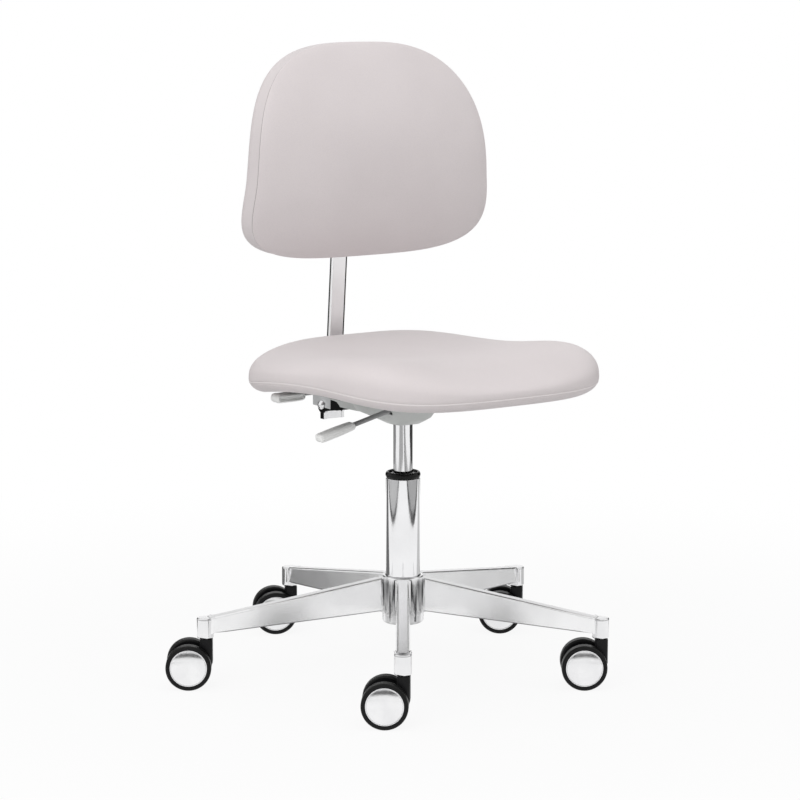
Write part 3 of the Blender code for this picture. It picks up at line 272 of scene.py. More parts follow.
def makePolishMarks():
    # haze left by the mop, and hairlines along the height
    group, given = newGroup("polishMarks", "Haze Scale", "Line Scale")
    haze = noise(group, given["Vector"], given["Haze Scale"], 5.0)["Fac"]
    drawn = addNode(group, "ShaderNodeMapping", {"Vector": given["Vector"], "Scale": (1.0, 1.0, 0.03)})
    lines = noise(group, drawn.outputs[0], given["Line Scale"], 2.0)["Fac"]
    worn = maths(group, "MULTIPLY", haze, lines)
    return closeGroup(group, lines, ranged(group, haze, 0.3, 0.7), ranged(group, worn, 0.12, 0.42))


def makeMouldedSkin():
    # spark-eroded skin of a moulding, with faint flow clouds
    group, given = newGroup("mouldedSkin", "Skin Scale", "Cloud Scale")
    skin = noise(group, given["Vector"], given["Skin Scale"], 3.0, 0.6)["Fac"]
    cloud = noise(group, given["Vector"], given["Cloud Scale"], 4.0)["Fac"]
    both = maths(group, "MULTIPLY_ADD", skin, 0.4, cloud)
    return closeGroup(group, skin, ranged(group, both, 0.45, 0.95), ranged(group, cloud, 0.3, 0.7))


effects = {"hideGrain": makeHideGrain(), "polishMarks": makePolishMarks(), "mouldedSkin": makeMouldedSkin()}

# finishes by surface effect: dark and light are the ends of the tone, rough the ends of the gloss
finishBook = {
    "hideGrain": {
        "upholstery": {"scales": (720, 7), "dark": (0.640, 0.590, 0.594), "light": (0.700, 0.648, 0.652),
                       "rough": (0.46, 0.60), "bump": (0.30, 0.00025), "specular": 0.42, "sheen": 0.10},
        "weltHide": {"scales": (900, 9), "dark": (0.76, 0.715, 0.715), "light": (0.82, 0.775, 0.775),
                     "rough": (0.42, 0.55), "bump": (0.22, 0.0002), "specular": 0.45},
        "seamThread": {"scales": (1400, 20), "dark": (0.31, 0.285, 0.285), "light": (0.39, 0.36, 0.36),
                       "rough": (0.6, 0.8), "bump": (0.5, 0.0003)},
    },
    "polishMarks": {
        "chrome": {"scales": (14, 420), "dark": (0.80, 0.80, 0.81), "light": (0.90, 0.90, 0.91),
                   "rough": (0.035, 0.085), "bump": (0.012, 0.0002)},
        # in the aluminium finishes the near-black third colour is painted shade for corners and edges
        "polishedAluminium": {"scales": (26, 300), "dark": (0.80, 0.80, 0.81), "light": (0.90, 0.90, 0.905),
                              "rough": (0.13, 0.22), "bump": (0.03, 0.0003), "paintedShade": (0.07, 0.07, 0.073)},
        "armAluminium": {"scales": (26, 300), "dark": (0.89, 0.89, 0.895), "light": (0.965, 0.965, 0.97),
                         "rough": (0.235, 0.255), "bump": (0.006, 0.0002), "paintedShade": (0.07, 0.07, 0.073)},
        "capChrome": {"scales": (40, 300), "dark": (0.82, 0.82, 0.83), "light": (0.91, 0.91, 0.915),
                      "rough": (0.16, 0.22), "bump": (0.02, 0.0003)},
        "barChrome": {"scales": (18, 420), "dark": (0.90, 0.90, 0.905), "light": (0.96, 0.96, 0.965),
                      "rough": (0.28, 0.32), "bump": (0.006, 0.0002)},
        # painted reflection: the near-black lines along two edges of the back bar
        "barEdgeReflection": {"scales": (18, 420), "dark": (0.030, 0.030, 0.032), "light": (0.055, 0.055, 0.058),
                    "rough": (0.25, 0.35), "bump": (0.006, 0.0002)},
        "brightSteel": {"scales": (30, 600), "dark": (0.78, 0.78, 0.79), "light": (0.88, 0.88, 0.89),
                        "rough": (0.14, 0.24), "bump": (0.05, 0.0003)},
        "greySteel": {"scales": (34, 380), "dark": (0.56, 0.565, 0.57), "light": (0.70, 0.705, 0.71),
                      "rough": (0.28, 0.45), "bump": (0.08, 0.0004)},
    },
    "mouldedSkin": {
        "blackNylon": {"scales": (1500, 18), "dark": (0.004, 0.004, 0.0045), "light": (0.010, 0.010, 0.011),
                       "rough": (0.24, 0.36), "bump": (0.10, 0.0003), "specular": 0.16},
        "tyreBlack": {"scales": (1200, 24), "dark": (0.004, 0.004, 0.004), "light": (0.011, 0.011, 0.011),
                      "rough": (0.30, 0.44), "bump": (0.14, 0.0003), "specular": 0.16},
        "collarRubber": {"scales": (1600, 30), "dark": (0.003, 0.003, 0.003), "light": (0.008, 0.008, 0.008),
                         "rough": (0.18, 0.30), "bump": (0.10, 0.0003), "specular": 0.18},
        "palePlastic": {"scales": (1300, 12), "dark": (0.555, 0.568, 0.555), "light": (0.625, 0.638, 0.625),
                        "rough": (0.40, 0.54), "bump": (0.14, 0.0003), "specular": 0.4},
        # lighter than the pale plastic of the cover: the extra lightness is painted light on grips that sit in
        # the seat's shadow
        "gripPlastic": {"scales": (1100, 16), "dark": (0.845, 0.848, 0.838), "light": (0.905, 0.908, 0.898),
                        "rough": (0.34, 0.48), "bump": (0.14, 0.0003), "specular": 0.42},
        "rodCoat": {"scales": (1400, 30), "dark": (0.235, 0.235, 0.238), "light": (0.305, 0.305, 0.308),
                    "rough": (0.30, 0.42), "bump": (0.08, 0.0003), "specular": 0.4},
        # painted shade: near black where the mechanism's channel opens and under the lugs
        "openingShade": {"scales": (900, 20), "dark": (0.002, 0.002, 0.002), "light": (0.007, 0.007, 0.007),
                         "rough": (0.55, 0.75), "bump": (0.12, 0.0003), "specular": 0.08},
        "bushPlastic": {"scales": (1500, 20), "dark": (0.46, 0.46, 0.465), "light": (0.54, 0.54, 0.545),
                        "rough": (0.38, 0.5), "bump": (0.12, 0.0003)},
        "underBoard": {"scales": (700, 9), "dark": (0.045, 0.044, 0.043), "light": (0.085, 0.083, 0.080),
                       "rough": (0.55, 0.72), "bump": (0.35, 0.0005), "specular": 0.3},
    },
}


def makeFinish(name, effect, look):
    material = bpy.data.materials.new(name)
    material.use_nodes = True
    tree = material.node_tree
    shader = tree.nodes["Principled BSDF"]
    place = addNode(tree, "ShaderNodeTexCoord")
    skin = addNode(tree, "ShaderNodeGroup", node_tree=effects[effect])
    tree.links.new(place.outputs["Object"], skin.inputs["Vector"])
    skin.inputs[1].default_value, skin.inputs[2].default_value = look["scales"]
    colour = addNode(tree, "ShaderNodeMix", data_type="RGBA",
                     inputs={0: skin.outputs["Tone"], 6: (*look["dark"], 1), 7: (*look["light"], 1)})
    if "paintedShade" in look:   # painted shade in the corners, the groove round the column, along the arms' lower edges and under the socket rims
        corner = addNode(tree, "ShaderNodeAttribute", attribute_name="corner")
        colour = addNode(tree, "ShaderNodeMix", data_type="RGBA",
                         inputs={0: corner.outputs["Fac"], 6: colour.outputs[2], 7: (*look["paintedShade"], 1)})
    (smooth, rough), (strength, deep) = look["rough"], look["bump"]
    gloss = addNode(tree, "ShaderNodeMapRange",
                    {"Value": skin.outputs["Gloss"], "To Min": smooth, "To Max": rough})
    bump = addNode(tree, "ShaderNodeBump",
                   {"Strength": strength, "Distance": deep, "Height": skin.outputs["Height"]})
    tree.links.new(colour.outputs[2], shader.inputs["Base Color"])
    tree.links.new(gloss.outputs[0], shader.inputs["Roughness"])
    tree.links.new(bump.outputs[0], shader.inputs["Normal"])
    shader.inputs["Metallic"].default_value = 1.0 if effect == "polishMarks" else 0.0
    shader.inputs["Specular IOR Level"].default_value = look.get("specular", 0.5)
    shader.inputs["Sheen Weight"].default_value = look.get("sheen", 0.0)
    return material


finishes = {name: makeFinish(name, effect, look) for effect, looks in finishBook.items()
            for name, look in looks.items()}
print("finishes mixed,", len(finishes))


# modelling helpers
def turned(outline, steps=96, ring=False, spinAxis="Z"):
    # (radius, height) points turned about an axis through the origin
    bm = bmesh.new()
    points = [bm.verts.new((radius, 0, height)) for radius, height in outline]
    lines = [bm.edges.new(pair) for pair in zip(points, points[1:])]
    if ring:
        lines.append(bm.edges.new((points[-1], points[0])))
    bmesh.ops.spin(bm, geom=points + lines, cent=(0, 0, 0), axis=(0, 0, 1), angle=2 * math.pi, steps=steps,
                   use_merge=True)
    bmesh.ops.remove_doubles(bm, verts=bm.verts, dist=1e-6)
    bmesh.ops.recalc_face_normals(bm, faces=bm.faces)
    if spinAxis != "Z":
        tip = Matrix.Rotation(math.pi / 2, 3, "Y") if spinAxis == "X" else Matrix.Rotation(-math.pi / 2, 3, "X")
        bmesh.ops.rotate(bm, cent=(0, 0, 0), matrix=tip, verts=bm.verts)
    return bm


def clamped(value):
    return max(0.0, min(1.0, value))


def superRadius(angle, square):
    # reach of a rounded square of half width 1
    c, s = abs(math.cos(angle)), abs(math.sin(angle))
    return (c ** square + s ** square) ** (-1 / square)


def soften(bm, width, steps=3, sharper=30, where=None):
    chosen = [edge for edge in bm.edges if len(edge.link_faces) == 2
              and edge.calc_face_angle() > math.radians(sharper)
              and (where is None or where((edge.verts[0].co + edge.verts[1].co) / 2))]
    bmesh.ops.bevel(bm, geom=chosen, offset=width, offset_type="OFFSET", segments=steps, profile=0.5,
                    affect="EDGES", material=-1, clamp_overlap=True)
    return bm


def block(low, high):
    bm = bmesh.new()
    bmesh.ops.create_cube(bm, size=1.0)
    bmesh.ops.scale(bm, vec=[h - l for l, h in zip(low, high)], verts=bm.verts)
    bmesh.ops.translate(bm, vec=[(h + l) / 2 for l, h in zip(low, high)], verts=bm.verts)
    return bm


def pushOut(bm, faces, step):
    pushed = bmesh.ops.extrude_face_region(bm, geom=faces)
    raised = [item for item in pushed["geom"] if isinstance(item, bmesh.types.BMVert)]
    bmesh.ops.translate(bm, vec=step, verts=raised)
    bmesh.ops.recalc_face_normals(bm, faces=bm.faces)


def cutAcross(bm, spot, normal):
    bmesh.ops.bisect_plane(bm, geom=bm.verts[:] + bm.edges[:] + bm.faces[:], dist=1e-6, plane_co=spot,
                           plane_no=normal)


def cutOut(outline, low, high, axis="X"):
    # flat outline pushed out to a slab along the axis, X or Y
    bm = bmesh.new()
    points = [(low, a, b) if axis == "X" else (a, low, b) for a, b in outline]
    face = bm.faces.new([bm.verts.new(point) for point in points])
    pushOut(bm, [face], (high - low, 0, 0) if axis == "X" else (0, high - low, 0))
    return bm


def joined(*shapes):
    # shapes come as (bmesh, finish number, matrix)
    whole = bmesh.new()
    for shape, number, matrix in shapes:
        if matrix is not None:
            bmesh.ops.transform(shape, matrix=matrix, verts=shape.verts)
        for face in shape.faces:
            face.material_index = number or face.material_index
        mesh = bpy.data.meshes.new("shape")
        shape.to_mesh(mesh)
        shape.free()
        whole.from_mesh(mesh)
        bpy.data.meshes.remove(mesh)
    return whole


def nodeShape(node):
    # the CAD node's own shape, its loose triangles merged to whole faces
    bm = bmesh.new()
    bm.from_mesh(nodes[node].data)
    bmesh.ops.remove_doubles(bm, verts=bm.verts, dist=2e-6)
    bmesh.ops.dissolve_limit(bm, angle_limit=math.radians(0.5), verts=bm.verts, edges=bm.edges)
    return bm


def addPiece(name, bm, looks, body, stands=(), sharp=38, even=True):
    mesh = bpy.data.meshes.new(name)
    bm.to_mesh(mesh)
    bm.free()
    for look in looks:
        mesh.materials.append(finishes[look])
    for face in mesh.polygons:
        face.use_smooth = True
    mesh.set_sharp_from_angle(angle=math.radians(sharp))
    piece = bpy.data.objects.new(name, mesh)
    scene.collection.objects.link(piece)
    if even:
        weigh = piece.modifiers.new("evenNormals", "WEIGHTED_NORMAL")
        weigh.keep_sharp = True
    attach(piece, body)
    if stands:
        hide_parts(*stands)
    return piece


# star base
baseCasting = {
    "hubRadius": 0.0305, "hubEdge": 0.00245, "hubFoot": 0.0048, "hubBore": 0.0253, "hubBreak": 0.0008,
    "groove": 0.0012, "drain": 0.016, "hubTop": 0.14399, "hubBottom": 0.07319, "ledge": 0.0788,
    "armReach": 0.299, "armHalf": 0.00825, "armEdge": 0.0032, "armWall": 0.0034, "armLip": 0.0020,
    "armBreak": 0.0006, "armDraft": 0.050, "armBury": 0.004,
    "armStations": (0.08, 0.13, 0.18, 0.23, 0.27), "armRows": (0.2, 0.4, 0.6, 0.8, 0.9),
    "tipTop": 0.10099, "rise": 0.0415, "tipHeight": 0.0226, "rootHeight": 0.0489,
    "rootFillet": 0.0068, "rootStart": 0.0008, "rootSteps": (0.0, 0.12, 0.26, 0.42, 0.62, 0.82, 1.0, 1.4),
    "tipFillet": 0.0016, "tipSteps": (1.2, 0.6, 0.25, 0.0), "hollowEnds": (1.2, 1.15),   # in fillets
    # reach, fade and darkness of the painted shade in the corners, along the arms' lower edges and under the
    # sockets' rims
    "shadeReach": 0.0084, "shadeSide": 0.0048, "shadeOut": 0.0012, "shadeStart": 0.004, "shadeTop": 0.004,
    "shadeFoot": 0.35, "shadeRise": 1.6, "shadePower": 0.8, "lipDark": 0.9, "rimDark": 0.7,
    "socketRadius": 0.0122, "socketRim": 0.0020, "socketLine": 0.0010, "socketBottom": 0.07189,
    "socketTop": 0.10139, "bore": 0.0058, "boreDepth": 0.0223,
}


def filletAt(distance, radius):
    # how far a quarter-round fillet still stands out at a distance from the wall it springs from
    reach = max(0.0, radius - distance)
    return radius - math.sqrt(max(0.0, radius * radius - reach * reach))


def armLines(cast, x):
    # share of the way from the tip to the hub, and the heights of an arm's lower and upper edge there
    share = (cast["armReach"] - x) / (cast["armReach"] - cast["hubRadius"])
    upper = cast["tipTop"] + cast["rise"] * share
    return share, upper - cast["tipHeight"] - (cast["rootHeight"] - cast["tipHeight"]) * share, upper


def armShape(cast):
    bm = bmesh.new()
    bmesh.ops.create_cube(bm, size=1.0)
    along = [edge for edge in bm.edges if abs(edge.verts[0].co.x - edge.verts[1].co.x) > 0.5]
    root, tip, foot = cast["rootFillet"], cast["tipFillet"], cast["hubRadius"] - cast["rootStart"]
    socketEdge = cast["armReach"] - math.sqrt(cast["socketRadius"] ** 2 - cast["armHalf"] ** 2)
    stations = [cast["hubRadius"] - cast["armBury"], *(foot + root * step for step in cast["rootSteps"]),
                *cast["armStations"], *(socketEdge - tip * step for step in cast["tipSteps"]),
                socketEdge + cast["armBury"]]
    bmesh.ops.subdivide_edges(bm, edges=along, cuts=len(stations) - 2, use_grid_fill=True)
    for vert in bm.verts:
        station = stations[round((vert.co.x + 0.5) * (len(stations) - 1))]
        lower, upper = armLines(cast, station)[1:]
        drop = filletAt(station - foot, root)
        half = cast["armHalf"] + drop + filletAt(socketEdge - station, tip)
        if vert.co.z > 0:
            vert.co = (station, math.copysign(half, vert.co.y), upper)
        else:
            half += cast["armDraft"] * (upper - lower)
            vert.co = (station, math.copysign(half, vert.co.y), lower - drop)
    crest = [edge for edge in bm.edges if abs(edge.verts[0].co.x - edge.verts[1].co.x) > 1e-5
             and abs(abs(edge.verts[0].co.y) - abs(edge.verts[1].co.y)) < 0.02
             and all(len(face.verts) == 4 for face in edge.link_faces)
             and any(face.normal.z > 0.5 for face in edge.link_faces)
             and any(abs(face.normal.y) > 0.5 for face in edge.link_faces)]
    bmesh.ops.bevel(bm, geom=crest, offset=cast["armEdge"], offset_type="OFFSET", segments=6, profile=0.5,
                    affect="EDGES", material=-1, clamp_overlap=True)
    bmesh.ops.recalc_face_normals(bm, faces=bm.faces)
    rows = [(cast["armLip"], cast["armLip"])]
    rows += [(cast["tipHeight"] * share, cast["rootHeight"] * share) for share in cast["armRows"]]
    for atTip, atHub in rows:   # cuts along the side walls, from the tip to the hub
        low = cast["tipTop"] - cast["tipHeight"] + atTip
        high = cast["tipTop"] + cast["rise"] - cast["rootHeight"] + atHub
        cutAcross(bm, (cast["armReach"], 0, low), (high - low, 0, cast["armReach"] - cast["hubRadius"]))
    start, end = cast["hubRadius"] + root * cast["hollowEnds"][0], socketEdge - tip * cast["hollowEnds"][1]
    under = [face for face in bm.faces if face.normal.z < -0.5 and start < face.calc_center_median().x < end]
    bmesh.ops.inset_region(bm, faces=under, thickness=cast["armWall"], use_even_offset=True)
    for vert in {vert for face in under for vert in face.verts}:   # hollow from below
        vert.co.z = armLines(cast, vert.co.x)[2] - cast["armWall"]
    return soften(bm, cast["armBreak"], 2, 60, lambda p: start < p.x < end)


def hubShape(cast):
    bm = turned([(cast["hubBore"], cast["hubTop"]), (cast["hubRadius"], cast["hubTop"]),
                 (cast["hubRadius"], cast["hubBottom"]), (cast["drain"], cast["hubBottom"]),
                 (cast["drain"], cast["ledge"]), (cast["hubBore"], cast["ledge"])], ring=True)
    outer, inner = cast["hubRadius"] * 0.98, cast["hubBore"] + 1e-4
    middle = (cast["hubTop"] + cast["hubBottom"]) / 2
    soften(bm, cast["hubEdge"], 4, 60, lambda p: p.xy.length > outer and p.z > middle)
    soften(bm, cast["hubFoot"], 6, 60, lambda p: p.xy.length > outer and p.z < middle)
    soften(bm, cast["groove"], 3, 60, lambda p: p.xy.length < inner and p.z > middle)
    soften(bm, cast["hubBreak"], 2, 60)
    upright = [edge for edge in bm.edges if abs(edge.verts[0].co.z - edge.verts[1].co.z) > 0.03]
    bmesh.ops.subdivide_edges(bm, edges=upright, cuts=6, use_grid_fill=True)
    return bm


def paintShade(bm, cast, headings):
    # marks painted shade in the corners between the hub and the arms, fading towards the top, in the groove round
    # the column, along the lower edges of the arms and in the line under the rim of each socket
    corner = bm.verts.layers.float.new("corner")
    side = cast["armHalf"] + cast["shadeSide"]
    along = math.sqrt(cast["hubRadius"] ** 2 - side ** 2) + cast["shadeOut"]
    tall, rim = cast["hubTop"] - cast["hubBottom"], cast["socketTop"] - cast["socketRim"]
    for vert in bm.verts:
        turn, reach, z = math.atan2(vert.co.y, vert.co.x), vert.co.xy.length, vert.co.z
        away = min(abs((turn - heading + math.pi) % (2 * math.pi) - math.pi) for heading in headings)
        out, across = reach * math.cos(away), reach * math.sin(away)
        gap = math.hypot(out - along, across - side)
        depth = clamped((cast["hubTop"] - cast["shadeStart"] - z) / cast["shadeTop"])
        level = clamped(cast["shadeRise"] * (z - cast["hubBottom"]) / tall)
        depth *= cast["shadeFoot"] + (1 - cast["shadeFoot"]) * level
        vert[corner] = depth * clamped(1 - gap / cast["shadeReach"]) ** cast["shadePower"]
        share, lower = armLines(cast, out)[:2]
        onArm = share > 0.05 and reach > cast["hubRadius"] + cast["rootFillet"]
        if reach < cast["hubBore"] + 0.6 * cast["groove"]:
            vert[corner] = 1.0
        if onArm and z < lower + cast["armLip"] / 2 and across > cast["armHalf"]:
            vert[corner] = cast["lipDark"]
        if share < 0.05 and abs(z - rim) < 1e-4:
            vert[corner] = cast["rimDark"]
    return bm


def socketShape(cast):
    radius, bottom = cast["socketRadius"], cast["socketBottom"]
    boreTop = bottom + cast["boreDepth"]
    bm = turned([(0, cast["socketTop"]), (radius, cast["socketTop"]),
                 (radius, cast["socketTop"] - cast["socketRim"] - cast["socketLine"]), (radius, bottom),
                 (cast["bore"], bottom), (cast["bore"], boreTop), (0, boreTop)], steps=56)
    return soften(bm, cast["socketRim"], 5, 60, lambda p: p.xy.length > 0.9 * radius)


def makeBase(cast):
    shapes, headings = [(hubShape(cast), 0, None)], []
    for number in range(1, 6):
        post = joints["castor_%d_swivel" % number]["pos_m"]
        headings.append(math.atan2(post[1], post[0]))
        shapes.append((armShape(cast), 1, Matrix.Rotation(headings[-1], 4, "Z")))
        shapes.append((socketShape(cast), 0, Matrix.Translation((post[0], post[1], 0))))
    base = paintShade(joined(*shapes), cast, headings)
    addPiece("starBase", base, ["polishedAluminium", "armAluminium"], "base", ["star_base"])


makeBase(baseCasting)
print("base cast")

# gas spring
gasSpring = {
    "columnRadius": 0.025, "columnWall": 0.0015, "columnFloor": 0.003, "columnBreak": 0.0005, "rodHole": 0.0053,
    "collarWidth": 0.0056, "collarProud": 0.0006, "play": 0.0003, "bushRound": 0.0009,
    "tubeRadius": 0.014, "tubeWall": 0.003, "tubeTaper": 0.0008, "taperLength": 0.0175, "crown": 0.016,
    "buttonHole": 0.004, "tubeBreak": 0.0008,
}


def makeGasSpring(spring):
    low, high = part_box("column_tube")
    outer, hole, play, columnTop = spring["columnRadius"], spring["rodHole"], spring["play"], high.z
    inner, floor = outer - spring["columnWall"], low.z + spring["columnFloor"]
    column = turned([(inner, high.z), (outer, high.z), (outer, low.z), (hole, low.z), (hole, floor),
                     (inner, floor)], ring=True, steps=112)
    soften(column, spring["columnBreak"], 3, 60)
    addPiece("columnTube", column, ["chrome"], "base", ["column_tube"])

    low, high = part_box("column_collar")
    wide, tall = spring["collarWidth"] / 2, (high.z - low.z) / 2
    middle = outer + spring["collarProud"] - wide
    angles = [math.radians(angle) for angle in range(0, 360, 12)]
    collar = turned([(middle + wide * math.cos(a), low.z + tall + tall * math.sin(a)) for a in angles], ring=True)
    addPiece("columnCollar", collar, ["collarRubber"], "base", ["column_collar"])

    low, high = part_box("column_bush")
    tube = spring["tubeRadius"]
    guide, lip, body = tube + play, outer - spring["collarWidth"] - play, inner - play
    bush = turned([(lip, high.z), (lip, columnTop), (body, columnTop), (body, low.z), (guide, low.z),
                   (guide, high.z)], ring=True, steps=72)
    soften(bush, spring["bushRound"], 3, 60, lambda p: p.z > columnTop + 0.001)
    addPiece("columnBush", bush, ["bushPlastic"], "base", ["column_bush"])

    low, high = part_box("pressure_tube")
    inside, crown, button = tube - spring["tubeWall"], high.z - spring["crown"], spring["buttonHole"]
    shell = turned([(tube - spring["tubeTaper"], high.z), (tube, high.z - spring["taperLength"]), (tube, low.z),
                    (inside, low.z), (inside, crown), (button, crown), (button, high.z)], ring=True, steps=88)
    soften(shell, spring["tubeBreak"], 3, 60)
    addPiece("pressureTube", shell, ["chrome"], "seat", ["pressure_tube"])


makeGasSpring(gasSpring)
print("gas spring turned")

# castors, shaped in their own frame: x along the trail, y along the axle
castorShape = {
    "radius": 0.03289, "halfWidth": 0.0085, "bead": 0.0297, "beadStep": 0.0004, "tyreRound": 0.0029,
    "tyreBreak": 0.00018, "dish": 0.015, "dishDepth": 0.0018, "bore": 0.0043, "spacing": 0.042, "trail": 0.0240,
    "play": 0.0003, "capRadius": 0.0268, "capSeat": 0.0030, "capLip": 0.0016, "capFoot": 0.0017,
    "capDome": 0.0041, "capPower": 2.5, "capLine": ((0.0003, 0.0012), (0.0006, 0.0016)), "capRim": 0.0014,
    "capBreak": 0.00025,
    "capSteps": (0, 0.1, 0.2, 0.3, 0.4, 0.5, 0.6, 0.7, 0.78, 0.85, 0.91, 0.955, 0.985, 1.0),
    "hoodHalf": 0.0115, "hoodTop": 0.07109, "webRadius": 0.0252, "webRound": 0.0014, "neckBack": -0.0105,
    "neckFront": 0.0078, "neckKnee": 0.020, "neckSpread": 0.006, "neckRound": 0.0048, "neckEdge": 0.0022,
    "topBreak": 0.0010,
}


def wheelShape(wheel):
    half, step, bead = wheel["halfWidth"], wheel["beadStep"], wheel["bead"]
    seat = wheel["capRadius"] + wheel["play"]
    floor, dish, deep = half - wheel["capSeat"], wheel["dish"], wheel["dishDepth"]
    bm = turned([(seat, floor), (seat, half - step), (bead, half - step), (bead, half), (wheel["radius"], half),
                 (wheel["radius"], -half), (bead, -half), (bead, step - half), (dish, step - half),
                 (dish, deep - half), (wheel["bore"], deep - half), (wheel["bore"], floor)], ring=True, steps=80)
    for face in bm.faces:
        face.material_index = 0 if face.calc_center_median().xy.length > bead - step else 1
    soften(bm, wheel["tyreRound"], 7, 60, lambda p: p.xy.length > wheel["radius"] * 0.99)
    return soften(bm, wheel["tyreBreak"], 2, 60)


def capShape(wheel):
    radius, dome = wheel["capRadius"], wheel["capRadius"] - wheel["capLip"]
    curve = [(dome * step, wheel["capFoot"] + wheel["capDome"] * (1 - step ** wheel["capPower"]))
             for step in wheel["capSteps"]]
    curve += [(dome + out, up) for out, up in wheel["capLine"]]
    bm = turned(curve + [(radius, wheel["capRim"]), (radius, 0.0), (0, 0.0)], steps=80)
    return soften(bm, wheel["capBreak"], 3, 50, lambda p: p.xy.length > dome * 1.02)


def hoodShape(hood):
    half, axle, web = hood["hoodHalf"], hood["radius"], hood["webRadius"]
    back, front, top = hood["neckBack"], hood["neckFront"], hood["hoodTop"]
    drum = turned([(0, half), (web, half), (web, -half), (0, -half)], steps=72, spinAxis="Y")
    soften(drum, hood["webRound"], 3, 60)
    bmesh.ops.translate(drum, vec=(hood["trail"], 0, axle), verts=drum.verts)
    neck = cutOut([(back, axle), (back, top), (front, top), (front, axle + hood["neckKnee"]),
                   (front + hood["neckSpread"], axle)], -half, half, "Y")
    below = top - 0.0006
    soften(neck, hood["neckRound"], 6, 60, lambda p: abs(p.x - back) < 1e-4 and p.z < below)
    soften(neck, hood["neckEdge"], 4, 60, lambda p: abs(abs(p.y) - half) < 1e-4 and p.z < below)
    soften(neck, hood["topBreak"], 3, 50, lambda p: p.z > below)
    return joined((drum, 0, None), (neck, 0, None))


def makeCastors(shape):
    for number in range(1, 6):
        prefix = "castor_%d" % number
        post = Vector(joints[prefix + "_swivel"]["pos_m"])
        hub = Vector(joints[prefix + "_left_spin"]["pos_m"])
        heading = math.atan2(hub.y - post.y, hub.x - post.x)
        stand = Matrix.Translation((post.x, post.y, 0)) @ Matrix.Rotation(heading, 4, "Z")
        addPiece("castor%dHood" % number, joined((hoodShape(shape), 0, stand)), ["blackNylon"], prefix,
                 [prefix + "_hood"])
        for side, sign in (("left", 1), ("right", -1)):
            face = Matrix.Translation((shape["trail"], sign * shape["spacing"] / 2, shape["radius"]))
            out = stand @ face @ Matrix.Rotation(-sign * math.pi / 2, 4, "X")
            name, body = "castor%d%s" % (number, side.title()), "%s_%s_wheel" % (prefix, side)
            addPiece(name + "Wheel", joined((wheelShape(shape), 0, out)), ["tyreBlack", "blackNylon"], body,
                     ["%s_wheel_%s" % (prefix, side)])
            seat = out @ Matrix.Translation((0, 0, shape["halfWidth"] - shape["capSeat"] + shape["play"]))
            addPiece(name + "Cap", joined((capShape(shape), 0, seat)), ["capChrome"], body,
                     ["%s_cap_%s" % (prefix, side)])


makeCastors(castorShape)
print("castors turned")

# mechanism under the seat
mechanism = {
    "edge": 0.0004, "plateThick": 0.004, "play": 0.0003, "lugFront": 0.0235, "lugRear": 0.0125,
    "openingFoot": -0.0036, "openingFrom": 0.05, "openingHalf": 0.0195, "openingRise": 0.034,
    "tailSide": (0.0187, 0.0207), "tailBreak": 0.0006,
    "tailRoot": ((0.105, 0.0540), (0.0995, 0.0240), (0.0900, 0.0118), (0.0700, 0.0078)),
    "tailSweep": ((0.066, 0.0058), (0.095, 0.0046), (0.122, 0.0040), (0.1375, 0.0042), (0.1415, 0.0075),
                  (0.146, 0.0102), (0.153, 0.0112), (0.165, 0.0116)),
    "screw": (0.0052, 0.0042, 0.0085),   # radius, height and washer
    "screwSpots": ((-0.0535, -0.062), (0.0535, -0.062), (-0.0535, 0.092), (0.0535, 0.092)),
}
screwHead = {"break": 0.10, "washer": 0.0012, "washerBreak": 0.0003, "sunk": 0.0001}


def screwShape(radius, height, washer):
    # hex head on a washer, pointing up
    head = bmesh.new()
    bmesh.ops.create_circle(head, cap_ends=True, segments=6, radius=radius)
    pushOut(head, list(head.faces), (0, 0, height))
    soften(head, radius * screwHead["break"], 2, 50)
    bmesh.ops.translate(head, vec=(0, 0, screwHead["washer"] - screwHead["sunk"]), verts=head.verts)
    ring = turned([(0, screwHead["washer"]), (washer, screwHead["washer"]), (washer, 0.0), (0, 0.0)], steps=40)
    soften(ring, screwHead["washerBreak"], 2, 50)
    return joined((head, 0, None), (ring, 0, None))


